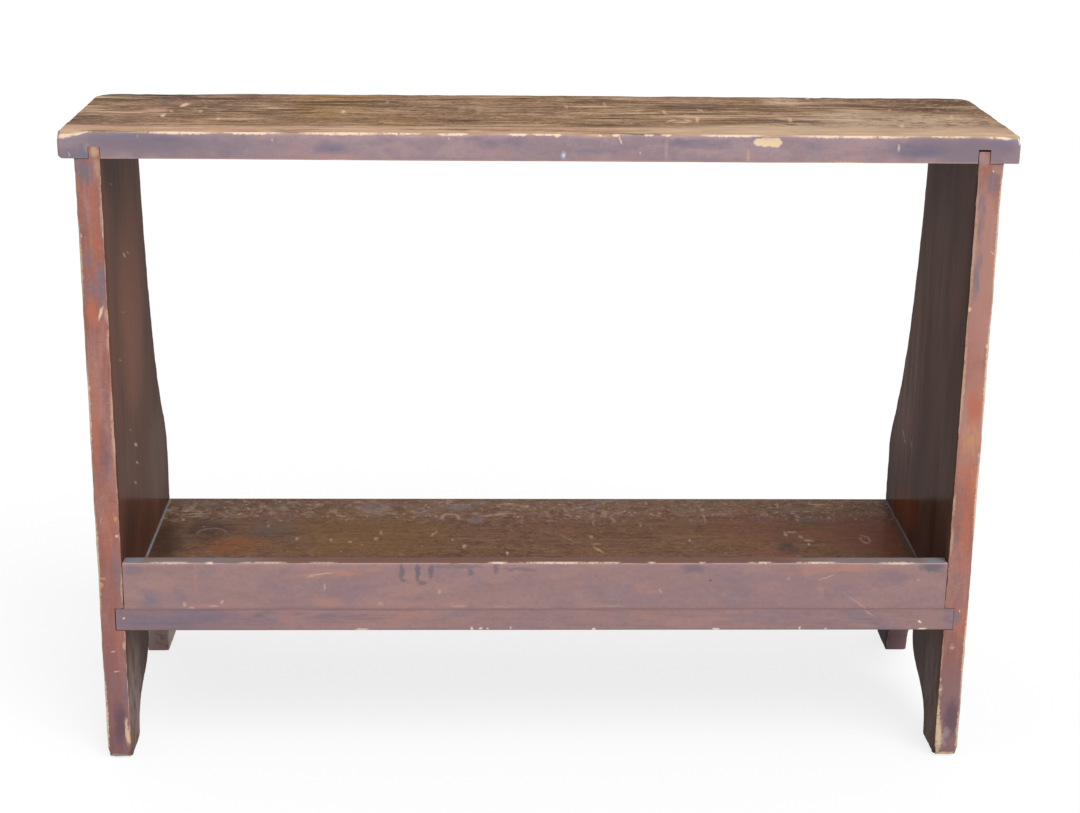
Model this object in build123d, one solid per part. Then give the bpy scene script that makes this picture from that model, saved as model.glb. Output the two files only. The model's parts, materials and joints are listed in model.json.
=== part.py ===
from build123d import *
import math
import os

# Bucket bench of wide pine boards. Two shaped end boards carry a narrow top board and a deep
# lower shelf, a low rail stands along the shelf's front edge, and cut nails hold the joints.
# Millimetres. +Z is up, +X runs to the right along the bench and the front faces -Y. The origin
# is on the floor, in the middle of the bench's length and depth.

# --- The whole bench ---
ends_width = 1005.0  # over the outer faces of the two end boards
bench_height = 744.0  # floor to the upper face of the top board
bench_depth = 370.0  # front to back of an end board at the shelf

# --- Top board ---
top_thickness = 30.0
top_depth = 264.5
top_side_overhang = 17.5  # past the outer face of an end board
top_back_overhang = 13.0  # past the back edge of an end board
top_back_corner = 16.0  # plan radius of the two back corners
top_front_corner = 4.0  # plan radius of the two front corners
top_edge_round = 2.5  # along the upper and lower edges

# --- End boards ---
end_thickness = 28.4
end_edge_round = 1.5
shoulder_height = 268.0  # the back edge is upright from the floor to here
shoulder_pull = 48.0  # how far the rounded shoulder keeps on upwards
neck_pull = 365.0  # how far the neck's straight lean reaches down from the top
neck_lean = 3.5  # degrees from upright, at the top of the back edge

# --- Cut-out between the two feet of an end board ---
foot_depth = 63.5  # front to back of each foot at the floor
foot_lean = 6.0  # degrees from upright, on the inner edge of a foot
foot_pull = 80.0  # how far the foot's inner edge keeps on upwards
foot_corner_round = 3.0
brow_pull = 75.0  # how far the arch's side reaches down into the brow
arch_radius = 26.0
arch_spring_height = 106.0  # centre of the arch above the floor

# --- Tongue on each end board, in a groove under the top board ---
tongue_thickness = 14.2
tongue_height = 13.5
tongue_side_gap = 0.2
tongue_top_gap = 1.0

# --- Lower shelf, housed in a groove in each end board ---
shelf_height = 191.5  # floor to the shelf's upper face
shelf_thickness = 27.0
shelf_edge_round = 1.5
housing_depth = 11.0
housing_end_gap = 1.0
housing_top_gap = 0.3

# --- Front rail, standing on the shelf ---
rail_height = 57.0
rail_thickness = 19.5
rail_edge_round = 2.0

# --- Cut nails ---
nail_length = 64.0
nail_shank_width = 4.2  # under the head, on the tapered sides
nail_point_width = 1.6
nail_shank_thickness = 3.0
nail_head_length = 6.4
nail_head_width = 4.2
nail_head_thickness = 1.8
nail_set = 1.0  # how far a head is punched under the wood's face
nail_end_margin = 45.0  # last nail of a row to the edge of its board
nails_per_top_end = 3
nails_per_shelf_end = 3
nails_per_rail_end = 2
nails_under_rail = 4
rail_end_nail_margin = 14.0  # last nail in a rail end to the rail's edge
under_rail_nail_margin = 90.0  # last nail under the rail to an end board's inner face

# --- Planes that the boards share ---
front = -bench_depth / 2
back = bench_depth / 2
end_outer = ends_width / 2
end_inner = end_outer - end_thickness
top_underside = bench_height - top_thickness
shelf_underside = shelf_height - shelf_thickness
rail_top = shelf_height + rail_height
neck_depth = top_depth - top_back_overhang
shelf_end = end_inner + housing_depth - housing_end_gap


def block(x_span, y_span, z_span):
    """A rectangular solid between two values on each axis."""
    low = Vector(x_span[0], y_span[0], z_span[0])
    high = Vector(x_span[1], y_span[1], z_span[1])
    size = high - low
    solid = Box(size.X, size.Y, size.Z, align=(Align.MIN, Align.MIN, Align.MIN))
    return Pos(*low) * solid


def spread(first, last, count):
    """Evenly spaced places from the first to the last."""
    step = (last - first) / (count - 1)
    return [first + step * place for place in range(count)]


def both_sides(solid):
    """The left-hand and right-hand twins of a solid made for the right-hand end."""
    return mirror(solid, about=Plane.YZ), solid


def long_edges(solid, axis):
    """The edges of a solid that run along one axis."""
    return solid.edges().filter_by(axis)


def nail(head_centre, drive_direction, width_direction):
    """One cut nail: a shank that tapers on two sides only, under a small flat head.

    head_centre is on the face of the wood, and the nail runs from there along drive_direction.
    """
    place = Plane(
        origin=head_centre + drive_direction * nail_set,
        x_dir=width_direction,
        z_dir=drive_direction,
    )
    head = Box(
        nail_head_length,
        nail_head_width,
        nail_head_thickness,
        align=(Align.CENTER, Align.CENTER, Align.MIN),
    )
    half_width = nail_shank_width / 2
    half_point = nail_point_width / 2
    taper = Polyline(
        (-half_width, nail_head_thickness),
        (half_width, nail_head_thickness),
        (half_point, nail_length),
        (-half_point, nail_length),
        close=True,
    )
    shank = extrude(
        Plane.XZ * make_face(taper), amount=nail_shank_thickness / 2, both=True
    )
    return place * (head + shank)


def nail_hole(head_centre, drive_direction, width_direction):
    """The room that one nail takes up in the wood, up to the wood's face over its head."""
    place = Plane(origin=head_centre, x_dir=width_direction, z_dir=drive_direction)
    pocket = Box(
        nail_head_length,
        nail_head_width,
        nail_set,
        align=(Align.CENTER, Align.CENTER, Align.MIN),
    )
    return nail(head_centre, drive_direction, width_direction) + place * pocket


def top_nail_places():
    """Nails down through the top board into the right-hand end board's tongue."""
    x = end_inner + tongue_thickness / 2
    rows = spread(front + nail_end_margin, front + neck_depth - nail_end_margin, nails_per_top_end)
    down = Vector(0, 0, -1)
    across_grain = Vector(0, 1, 0)
    return [(Vector(x, y, bench_height), down, across_grain) for y in rows]


def shelf_nail_places():
    """Nails through the right-hand end board into the end of the shelf."""
    z = (shelf_height + shelf_underside) / 2
    rows = spread(front + nail_end_margin, back - nail_end_margin, nails_per_shelf_end)
    inward = Vector(-1, 0, 0)
    along_shelf_edge = Vector(0, 1, 0)
    return [(Vector(end_outer, y, z), inward, along_shelf_edge) for y in rows]


def rail_nail_places():
    """Nails through the right-hand end board into the end of the rail."""
    y = front + rail_thickness / 2
    low = shelf_height + rail_end_nail_margin
    high = rail_top - rail_end_nail_margin
    inward = Vector(-1, 0, 0)
    upright = Vector(0, 0, 1)
    rows = spread(low, high, nails_per_rail_end)
    return [(Vector(end_outer, y, z), inward, upright) for z in rows]


def under_rail_nail_places():
    """Nails up through the shelf into the underside of the rail."""
    y = front + rail_thickness / 2
    last = end_inner - under_rail_nail_margin
    up = Vector(0, 0, 1)
    along_rail = Vector(1, 0, 0)
    return [(Vector(x, y, shelf_underside), up, along_rail) for x in spread(-last, last, nails_under_rail)]


def nail_group(places):
    """All the nails of one row, as separate solids."""
    return Compound([nail(*place).solid() for place in places])


def drill(board, places):
    """A board with the room for a row of nails cut out of it."""
    for place in places:
        board = board - nail_hole(*place)
    return board


def drill_both_ends(board, places):
    """A board with a row of nails let into its right-hand end, and their twins into its left."""
    right_done = drill(board, places)
    left_done = drill(mirror(right_done, about=Plane.YZ), places)
    return mirror(left_done, about=Plane.YZ)


def foot_cut_out():
    """The gap between the feet of an end board: an ogee on each side under a round arch.

    Drawn in side view, with the depth from the front edge first and the height second.
    """
    middle = bench_depth / 2
    lean = math.tan(math.radians(foot_lean))
    arch_side = middle - arch_radius
    ogee = Bezier(
        (foot_depth, 0),
        (foot_depth + foot_pull * lean, foot_pull),
        (arch_side, arch_spring_height - brow_pull),
        (arch_side, arch_spring_height),
    )
    arch = ThreePointArc(
        (arch_side, arch_spring_height),
        (middle, arch_spring_height + arch_radius),
        (middle + arch_radius, arch_spring_height),
    )
    far_ogee = mirror(ogee, about=Plane.YZ.offset(middle))
    floor_line = Line(far_ogee @ 0, ogee @ 0)
    return make_face([ogee, arch, far_ogee, floor_line])


def end_outline():
    """An end board in side view, without its tongue: depth from the front, then height."""
    lean = math.tan(math.radians(neck_lean))
    sweep = Bezier(
        (bench_depth, shoulder_height),
        (bench_depth, shoulder_height + shoulder_pull),
        (neck_depth + neck_pull * lean, top_underside - neck_pull),
        (neck_depth, top_underside),
    )
    straight = Polyline(
        (neck_depth, top_underside),
        (0, top_underside),
        (0, 0),
        (bench_depth, 0),
        (bench_depth, shoulder_height),
    )
    board = make_face([sweep, straight]) - foot_cut_out()
    toes = board.vertices().group_by(Axis.Y)[0]
    return fillet(toes, foot_corner_round)


def end_board():
    """The right-hand end board: feet, shaped back edge, tongue and the shelf's housing."""
    side = Plane.YZ * Pos(front, 0) * end_outline()
    board = Pos(end_inner, 0, 0) * extrude(side, amount=end_thickness)
    rims = board.faces().filter_by(Axis.X).edges()
    worn_rims = rims.filter_by(lambda edge: edge.center().Z < top_underside - end_edge_round)
    board = fillet(worn_rims, end_edge_round)
    board = board + block(
        (end_inner, end_inner + tongue_thickness),
        (front, front + neck_depth),
        (top_underside, top_underside + tongue_height),
    )
    housing = block(
        (end_inner - end_edge_round, end_inner + housing_depth),
        (front - end_edge_round, back + end_edge_round),
        (shelf_underside, shelf_height + housing_top_gap),
    )
    board = board - housing
    return drill(board, top_nail_places() + shelf_nail_places() + rail_nail_places())


def top_board():
    """The top board, with rounded corners and a groove across its underside at each end."""
    half_length = end_outer + top_side_overhang
    board = block(
        (-half_length, half_length),
        (front, front + top_depth),
        (top_underside, bench_height),
    )
    corners = long_edges(board, Axis.Z).group_by(Axis.Y)
    board = fillet(corners[-1], top_back_corner)
    corners = long_edges(board, Axis.Z).group_by(Axis.Y)
    board = fillet(corners[0], top_front_corner)
    board = fillet(board.faces().filter_by(Axis.Z).edges(), top_edge_round)
    groove = block(
        (end_inner - tongue_side_gap, end_inner + tongue_thickness + tongue_side_gap),
        (front, front + top_depth),
        (top_underside, top_underside + tongue_height + tongue_top_gap),
    )
    for side_groove in both_sides(groove):
        board = board - side_groove
    return drill_both_ends(board, top_nail_places())


def lower_shelf():
    """The shelf, from the groove in one end board to the groove in the other."""
    board = block((-shelf_end, shelf_end), (front, back), (shelf_underside, shelf_height))
    back_edges = long_edges(board, Axis.X).group_by(Axis.Y)[-1]
    front_low_edge = long_edges(board, Axis.X).group_by(Axis.Y)[0].sort_by(Axis.Z)[0]
    board = fillet([*back_edges, front_low_edge], shelf_edge_round)
    board = drill(board, under_rail_nail_places())
    return drill_both_ends(board, shelf_nail_places())


def front_rail():
    """The low rail that keeps the buckets on the shelf."""
    board = block(
        (-end_inner, end_inner),
        (front, front + rail_thickness),
        (shelf_height, rail_top),
    )
    top_edges = long_edges(board, Axis.X).group_by(Axis.Z)[-1]
    board = fillet(top_edges, rail_edge_round)
    board = drill(board, under_rail_nail_places())
    return drill_both_ends(board, rail_nail_places())


def bench():
    """Every piece of the bench under its own name."""
    left_end, right_end = both_sides(end_board())
    pieces = {
        "top_board": top_board(),
        "left_end_board": left_end,
        "right_end_board": right_end,
        "lower_shelf": lower_shelf(),
        "front_rail": front_rail(),
        "rail_nails_below": nail_group(under_rail_nail_places()),
    }
    rows = {
        "top_nails": top_nail_places(),
        "shelf_nails": shelf_nail_places(),
        "rail_nails": rail_nail_places(),
    }
    for name, places in rows.items():
        left_row, right_row = both_sides(nail_group(places))
        pieces[name + "_left"] = left_row
        pieces[name + "_right"] = right_row
    return pieces


os.makedirs("parts", exist_ok=True)
for name, piece in bench().items():
    export_step(piece, f"parts/{name}.step")
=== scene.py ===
"""Bucket bench of old wide pine boards under a worn red-brown stain.

Every board is modelled again with its worn arrises, chips and joints, and takes the place of its
plain solid. Sizes and places are in millimetres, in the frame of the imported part: X runs to the
right along the bench, Y to the back and Z up, with the origin on the floor.
"""

import json
import logging
import math
from dataclasses import dataclass
from enum import Enum
from typing import Callable, ClassVar, Sequence

import bmesh
import bpy
import numpy as np
from mathutils import Matrix, Vector

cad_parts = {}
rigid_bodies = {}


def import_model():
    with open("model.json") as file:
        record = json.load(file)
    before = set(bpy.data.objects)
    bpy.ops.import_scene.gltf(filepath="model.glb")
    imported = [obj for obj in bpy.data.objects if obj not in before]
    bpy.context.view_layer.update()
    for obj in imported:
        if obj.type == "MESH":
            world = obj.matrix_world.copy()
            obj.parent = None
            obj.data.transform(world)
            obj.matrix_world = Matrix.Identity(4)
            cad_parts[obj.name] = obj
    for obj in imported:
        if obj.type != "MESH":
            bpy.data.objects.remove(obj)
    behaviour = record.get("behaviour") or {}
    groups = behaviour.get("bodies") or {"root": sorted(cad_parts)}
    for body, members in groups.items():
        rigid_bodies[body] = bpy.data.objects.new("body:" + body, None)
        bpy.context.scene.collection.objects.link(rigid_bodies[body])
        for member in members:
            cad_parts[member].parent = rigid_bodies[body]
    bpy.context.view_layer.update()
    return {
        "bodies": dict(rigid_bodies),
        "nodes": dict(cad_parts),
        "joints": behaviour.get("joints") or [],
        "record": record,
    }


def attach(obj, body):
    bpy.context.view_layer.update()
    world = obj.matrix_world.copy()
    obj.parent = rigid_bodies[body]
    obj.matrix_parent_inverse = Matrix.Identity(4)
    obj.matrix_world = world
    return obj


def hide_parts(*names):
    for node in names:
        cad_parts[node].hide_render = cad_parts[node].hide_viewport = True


log = logging.getLogger("bucket_bench")

X, Y, Z = 0, 1, 2  # the axes
MM = 0.001  # one millimetre in metres
SHARP = math.radians(50)  # two faces that meet at a larger angle make an arris
SMOOTH = math.radians(42)  # two faces that meet at a smaller angle are shaded as one
PAST = 5.0  # how far a cut runs past the wood, in millimetres
NEAR = 1.0  # millimetres within which an edge counts as lying on a face
ARRIS = "arris"  # mesh attribute: millimetres from a point of the surface to the nearest arris

Corner = tuple[float, float, float]
Socket = bpy.types.NodeSocket
Piece = bpy.types.Object
Rims = tuple[tuple[tuple[float, ...], tuple[float, ...]], ...]


# ---------------------------------------------------------------------------------------------
# Shaping wood
# ---------------------------------------------------------------------------------------------


def let_go() -> None:
    """Leave edit mode and leave nothing selected."""
    if bpy.context.object and bpy.context.object.mode != "OBJECT":
        bpy.ops.object.mode_set(mode="OBJECT")
    bpy.ops.object.select_all(action="DESELECT")


def pick_up(piece: Piece) -> None:
    """Make one piece the only selected and active one."""
    let_go()
    piece.select_set(True)
    bpy.context.view_layer.objects.active = piece


def start_edit(piece: Piece) -> None:
    """Open one piece in edit mode."""
    pick_up(piece)
    bpy.ops.object.mode_set(mode="EDIT")


def add_block(name: str, low: Corner, high: Corner) -> Piece:
    """Add a block.

    Args:
        name: its name.
        low: its lowest corner, in millimetres.
        high: its highest corner.

    Returns:
        The block, with its place in its mesh.
    """
    let_go()
    near, far = Vector(low) * MM, Vector(high) * MM
    bpy.ops.mesh.primitive_cube_add(size=1.0, location=(near + far) / 2, scale=far - near)
    bpy.ops.object.transform_apply(location=True, rotation=True, scale=True)
    block = bpy.context.object
    block.name = name
    return block


def choose(piece: Piece, kind: str, rule: Callable[[object], bool]) -> None:
    """Select the edges or faces of a piece in edit mode that a rule picks.

    Args:
        piece: the piece, open in edit mode.
        kind: "EDGE" or "FACE".
        rule: says yes to the edges or faces that are wanted, by their place or normal.
    """
    bpy.ops.mesh.select_mode(type=kind)
    bpy.ops.mesh.select_all(action="DESELECT")
    mesh = bmesh.from_edit_mesh(piece.data)
    for item in mesh.edges if kind == "EDGE" else mesh.faces:
        if rule(item):
            item.select_set(True)
    bmesh.update_edit_mesh(piece.data)


def runs_along(edge: bmesh.types.BMEdge, axis: int) -> bool:
    """Whether an edge lies along one axis."""
    run = edge.verts[1].co - edge.verts[0].co
    return abs(run[axis]) > 0.999 * run.length


def is_sharp(edge: bmesh.types.BMEdge) -> bool:
    """Whether two faces meet at an edge in an arris, and not in a smooth curve."""
    return len(edge.link_faces) == 2 and edge.calc_face_angle() > SHARP


def slice_at(axis: int, places: Sequence[float]) -> None:
    """Cut edges into the piece in edit mode, square to one axis.

    Args:
        axis: X, Y or Z.
        places: where along that axis, in millimetres.
    """
    across = [0.0, 0.0, 0.0]
    across[axis] = 1.0
    for place in places:
        bpy.ops.mesh.select_all(action="SELECT")
        bpy.ops.mesh.bisect(plane_co=[part * place * MM for part in across], plane_no=across)


def slice_rims(low: Corner, high: Corner, rims: Rims) -> None:
    """Cut edges into a block in edit mode near its ends, so that its rims can wear.

    Args:
        low: its lowest corner, in millimetres.
        high: its highest corner.
        rims: along X, Y and Z, the distances of the cuts from its low end and its high end.
    """
    for axis, (after, before) in enumerate(rims):
        slice_at(axis, [low[axis] + gap for gap in after] + [high[axis] - gap for gap in before])


def divide_long_edges(piece: Piece, axis: int, step: float) -> None:
    """Cut the long edges along one axis into even steps.

    Args:
        piece: the piece, open in edit mode.
        axis: X, Y or Z.
        step: about how long each step is, in millimetres.
    """
    mesh = bmesh.from_edit_mesh(piece.data)
    lengths = {
        round(edge.calc_length(), 4)
        for edge in mesh.edges
        if runs_along(edge, axis) and edge.calc_length() > 1.5 * step * MM
    }
    for length in sorted(lengths):
        choose(
            piece,
            "EDGE",
            lambda edge: runs_along(edge, axis) and abs(edge.calc_length() - length) < 1e-4,
        )
        bpy.ops.mesh.subdivide(number_cuts=max(1, round(length / (step * MM)) - 1))


def sharp_lines(piece: Piece) -> np.ndarray:
    """The arrises of a piece in edit mode, before they are rounded.

    Args:
        piece: the piece, open in edit mode.

    Returns:
        The two ends of each sharp edge, in millimetres, as an array of shape (edges, 2, 3).
    """
    mesh = bmesh.from_edit_mesh(piece.data)
    ends = [[list(vert.co) for vert in edge.verts] for edge in mesh.edges if is_sharp(edge)]
    return np.array(ends) / MM


def round_arrises(
    piece: Piece,
    radius: float,
    rule: Callable[[bmesh.types.BMEdge], bool] = lambda edge: True,
    segments: int = 3,
) -> None:
    """Round the sharp edges of a piece in edit mode.

    Args:
        piece: the piece, open in edit mode.
        radius: how much they are rounded, in millimetres.
        rule: says yes to the edges that are wanted.
        segments: how many facets make the round.
    """
    choose(piece, "EDGE", lambda edge: is_sharp(edge) and rule(edge))
    bpy.ops.mesh.bevel(offset=radius * MM, segments=segments, profile=0.5, affect="EDGES")


def finish_with(piece: Piece, kind: str, **settings: object) -> None:
    """Add one modifier to a piece and apply it."""
    pick_up(piece)
    modifier = piece.modifiers.new(kind.lower(), kind)
    for name, value in settings.items():
        setattr(modifier, name, value)
    bpy.ops.object.modifier_apply(modifier=modifier.name)


def cut_away(piece: Piece, low: Corner, high: Corner) -> None:
    """Cut the wood between two corners, in millimetres, out of a piece."""
    cutter = add_block("cutter", low, high)
    finish_with(piece, "BOOLEAN", operation="DIFFERENCE", solver="EXACT", object=cutter)
    bpy.data.objects.remove(cutter)


def turn_faces_out() -> None:
    """Turn every face of the piece in edit mode to point outwards."""
    bpy.ops.mesh.select_all(action="SELECT")
    bpy.ops.mesh.normals_make_consistent(inside=False)


def mirrored(piece: Piece, name: str) -> Piece:
    """Copy a right-hand piece to the left-hand end, with a mesh of its own."""
    pick_up(piece)
    bpy.ops.object.duplicate(linked=False)
    twin = bpy.context.object
    twin.name = name
    bpy.ops.transform.mirror(constraint_axis=(True, False, False))
    bpy.ops.object.transform_apply(location=True, rotation=True, scale=True)
    start_edit(twin)
    turn_faces_out()
    let_go()
    return twin


def mesh_points(piece: Piece) -> np.ndarray:
    """The places of a piece's vertices, in millimetres."""
    flat = np.zeros(len(piece.data.vertices) * 3)
    piece.data.vertices.foreach_get("co", flat)
    return flat.reshape(-1, 3) / MM


@dataclass(frozen=True)
class Dent:
    """A place where the wood is pressed in or chipped off: its middle, reach and depth, in mm."""

    middle: Corner
    reach: Corner
    depth: float


@dataclass(frozen=True)
class Wear:
    """How the years have changed the shape of a board, in millimetres."""

    reach: float = 4.0  # how far from an arris its wear shows
    dip: float = 1.6  # the deepest long dip in an arris
    dip_length: float = 26.0
    chip: float = 0.9  # the deepest small chip
    chip_length: float = 6.0
    wave: float = 0.5  # how far the faces rise and fall
    wave_length: float = 150.0
    dents: tuple[Dent, ...] = ()

    def apply(self, piece: Piece, arrises: np.ndarray, crisp: np.ndarray | None = None) -> None:
        """Wear a finished board, always into the wood.

        Args:
            piece: the board.
            arrises: the ends of its sharp edges, in millimetres.
            crisp: the ends of the sharp edges that keep their shape and lose only finish.
        """
        points = mesh_points(piece)
        distance = self.arris_distance(points, arrises)
        near = np.clip(1.0 - distance / self.reach, 0.0, 1.0) ** 0.7
        if crisp is not None:
            distance = np.minimum(distance, self.arris_distance(points, crisp))
        piece.data.attributes.new(ARRIS, "FLOAT", "POINT").data.foreach_set("value", distance)
        self.press(piece, "wave", np.ones(len(points)), self.wave, self.wave_length, 1.0)
        self.press(piece, "dip", near, self.dip, self.dip_length, 2.4)
        self.press(piece, "chip", near, self.chip, self.chip_length, 3.0)
        deepest = max((dent.depth for dent in self.dents), default=0.0)
        if deepest:
            self.press(piece, "dent", self.dent_depths(points) / deepest, deepest)

    @staticmethod
    def arris_distance(points: np.ndarray, arrises: np.ndarray) -> np.ndarray:
        """The distance from each point to the nearest arris, in millimetres."""
        nearest = np.full(len(points), np.inf)
        for start, end in arrises:
            run = end - start
            share = np.clip((points - start) @ run / (run @ run), 0.0, 1.0)
            gap = points - start - share[:, None] * run
            nearest = np.minimum(nearest, np.einsum("ij,ij->i", gap, gap))
        return np.sqrt(nearest)

    def dent_depths(self, points: np.ndarray) -> np.ndarray:
        """How deep each point is pressed in by the dents, in millimetres."""
        depths = np.zeros(len(points))
        for dent in self.dents:
            offset = (points - np.array(dent.middle)) / np.array(dent.reach)
            fall = np.clip(1.0 - np.einsum("ij,ij->i", offset, offset), 0.0, 1.0)
            depths = np.maximum(depths, dent.depth * fall**0.6)
        return depths

    @staticmethod
    def press(
        piece: Piece,
        name: str,
        share: np.ndarray,
        depth: float,
        length: float = 0.0,
        contrast: float = 1.0,
        direction: str = "NORMAL",
    ) -> None:
        """Push the surface of a piece inwards.

        Args:
            piece: the piece.
            name: what the change is, for its group and its texture.
            share: how much of the depth each vertex takes, 0 to 1.
            depth: the depth where the share is 1, in millimetres.
            length: the length of the clouds that vary the depth, or 0 for an even depth.
            contrast: how much the clouds are set apart.
            direction: "NORMAL", or an axis along which a negative depth moves the surface.
        """
        group = piece.vertex_groups.new(name=name)
        for index in np.nonzero(share > 0.01)[0]:
            group.add([int(index)], float(share[index]), "REPLACE")
        settings = {"vertex_group": name, "mid_level": 0.0, "strength": -depth * MM}
        if length:
            clouds = bpy.data.textures.new(f"{piece.name}_{name}", "CLOUDS")
            clouds.noise_scale = length * MM
            clouds.noise_depth = 2
            clouds.contrast = contrast
            clouds.use_clamp = True
            settings.update(texture=clouds, texture_coords="LOCAL")
        finish_with(piece, "DISPLACE", direction=direction, **settings)
        piece.vertex_groups.remove(piece.vertex_groups[name])


# ---------------------------------------------------------------------------------------------
# Finishes: patterns say where, coats say what
# ---------------------------------------------------------------------------------------------


def linear(colour: str) -> tuple[float, float, float, float]:
    """Turn an sRGB hex colour such as "#a08060" into linear values."""
    parts = [int(colour[place : place + 2], 16) / 255 for place in (1, 3, 5)]
    values = [
        part / 12.92 if part <= 0.04045 else ((part + 0.055) / 1.055) ** 2.4
        for part in parts
    ]
    return (*values, 1.0)


def feed(tree: bpy.types.NodeTree, node: bpy.types.Node, inputs: dict[str | int, object]) -> None:
    """Set the inputs of a node.

    Args:
        tree: the node tree.
        node: the node.
        inputs: for each input, by name or number, a value or the output that feeds it.
    """
    for key, value in inputs.items():
        if isinstance(value, Socket):
            tree.links.new(value, node.inputs[key])
        else:
            node.inputs[key].default_value = value


def add_node(
    tree: bpy.types.NodeTree,
    kind: str,
    inputs: dict[str | int, object] | None = None,
    **settings: object,
) -> bpy.types.Node:
    """Add a shader node with its settings and links.

    Args:
        tree: the node tree.
        kind: the node's type, without "ShaderNode".
        inputs: for each input, by name or number, a value or the output that feeds it.
        settings: the node's own settings.

    Returns:
        The node.
    """
    node = tree.nodes.new("ShaderNode" + kind)
    for name, value in settings.items():
        setattr(node, name, value)
    feed(tree, node, inputs or {})
    return node


class Grain(Enum):
    """The axis that a board's grain runs along."""

    ALONG_BENCH = X
    UPRIGHT = Z


class Side(Enum):
    """A flat side, as the axis it faces and the two axes in its plane."""

    UPPER = (Z, X, Y)
    FRONT = (Y, X, Z)
    END = (X, Y, Z)


class Canvas:
    """A material's node tree while its coats go on."""

    def __init__(self, name: str) -> None:
        """Start a material with this name."""
        self.material = bpy.data.materials.new(name)
        self.material.use_nodes = True
        self.tree = self.material.node_tree
        self.place = self.add("TexCoord", output="Object")
        self.parts = add_node(self.tree, "SeparateXYZ", {0: self.place}).outputs
        self.arris = self.add("Attribute", output="Fac", attribute_name=ARRIS)
        self.painted: dict[Pattern, Socket] = {}

    def add(
        self,
        kind: str,
        inputs: dict[str | int, object] | None = None,
        output: str | int = 0,
        **settings: object,
    ) -> Socket:
        """Add a node, as add_node does, and return one of its outputs."""
        return add_node(self.tree, kind, inputs, **settings).outputs[output]

    def paint(self, pattern: "Pattern") -> Socket:
        """The output of a pattern, painted once and then used again."""
        if pattern not in self.painted:
            self.painted[pattern] = pattern.paint(self)
        return self.painted[pattern]

    def rise(self, value: Socket, start: float, full: float, top: float = 1.0) -> Socket:
        """Let a value rise smoothly from 0 at one level to the top at another."""
        levels = {0: value, 1: start, 2: full, 3: 0.0, 4: top}
        return self.add("MapRange", levels, interpolation_type="SMOOTHSTEP", clamp=False)

    def close(self, inputs: dict[str, object], height: Socket | None) -> bpy.types.Material:
        """Give the shader its inputs.

        Args:
            inputs: a value or an output for each, by name.
            height: the relief of the surface, in metres.

        Returns:
            The finished material.
        """
        if height:
            relief = {"Height": height, "Distance": 1.0, "Strength": 1.0}
            inputs = {**inputs, "Normal": self.add("Bump", relief)}
        feed(self.tree, self.tree.nodes["Principled BSDF"], inputs)
        return self.material


@dataclass(frozen=True)
class Pattern:
    """Something that says how much of a coat shows at each point, 0 to 1."""

    shift: ClassVar[Corner] = (0.0, 0.0, 0.0)  # how far one seed moves the pattern, m

    def paint(self, canvas: Canvas) -> Socket:
        """Add the pattern's nodes.

        Args:
            canvas: the material.

        Returns:
            The output that holds the amount.
        """
        raise NotImplementedError

    def moved(self, seed: float) -> list[float]:
        """Where a seed moves the pattern, so that each seed shows another part of it."""
        return [seed * part for part in self.shift]


@dataclass(frozen=True)
class Ragged(Pattern):
    """The place of a point, shaken by noise so that outlines break up."""

    amount: float = 1.0  # mm
    size: float = 5.0  # mm

    def paint(self, canvas: Canvas) -> Socket:
        """Shake the object coordinates.

        Args:
            canvas: the material.

        Returns:
            The shaken coordinates.
        """
        settings = {"Vector": canvas.place, "Scale": 1 / (self.size * MM), "Detail": 2.0}
        noise = canvas.add("TexNoise", settings, "Color")
        centred = canvas.add("VectorMath", {0: noise, 1: (0.5, 0.5, 0.5)}, operation="SUBTRACT")
        reach = {0: centred, "Scale": 4 * self.amount * MM}
        scaled = canvas.add("VectorMath", reach, operation="SCALE")
        return canvas.add("VectorMath", {0: canvas.place, 1: scaled}, operation="ADD")


@dataclass(frozen=True)
class Streaks(Pattern):
    """Long soft streaks that follow the grain, or clouds where both sizes are alike."""

    length: float  # mm
    width: float  # mm
    start: float = 0.5  # the noise level where the streaks begin
    full: float = 0.65
    seed: float = 0.0
    warp: float = 0.0  # how much the streaks curl
    grain: Grain = Grain.ALONG_BENCH
    detail: float = 5.0
    shift: ClassVar[Corner] = (7.3, 3.1, 5.7)

    def paint(self, canvas: Canvas) -> Socket:
        """Stretch noise along the grain.

        Args:
            canvas: the material.

        Returns:
            The amount of streak.
        """
        scale = [1 / (self.width * MM)] * 3
        scale[self.grain.value] = 1 / (self.length * MM)
        stretch = {"Vector": canvas.place, "Location": self.moved(self.seed), "Scale": scale}
        place = canvas.add("Mapping", stretch)
        settings = {"Scale": 1.0, "Detail": self.detail, "Roughness": 0.6, "Distortion": self.warp}
        noise = canvas.add("TexNoise", {"Vector": place, **settings})
        return canvas.rise(noise, self.start, self.full)


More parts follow.
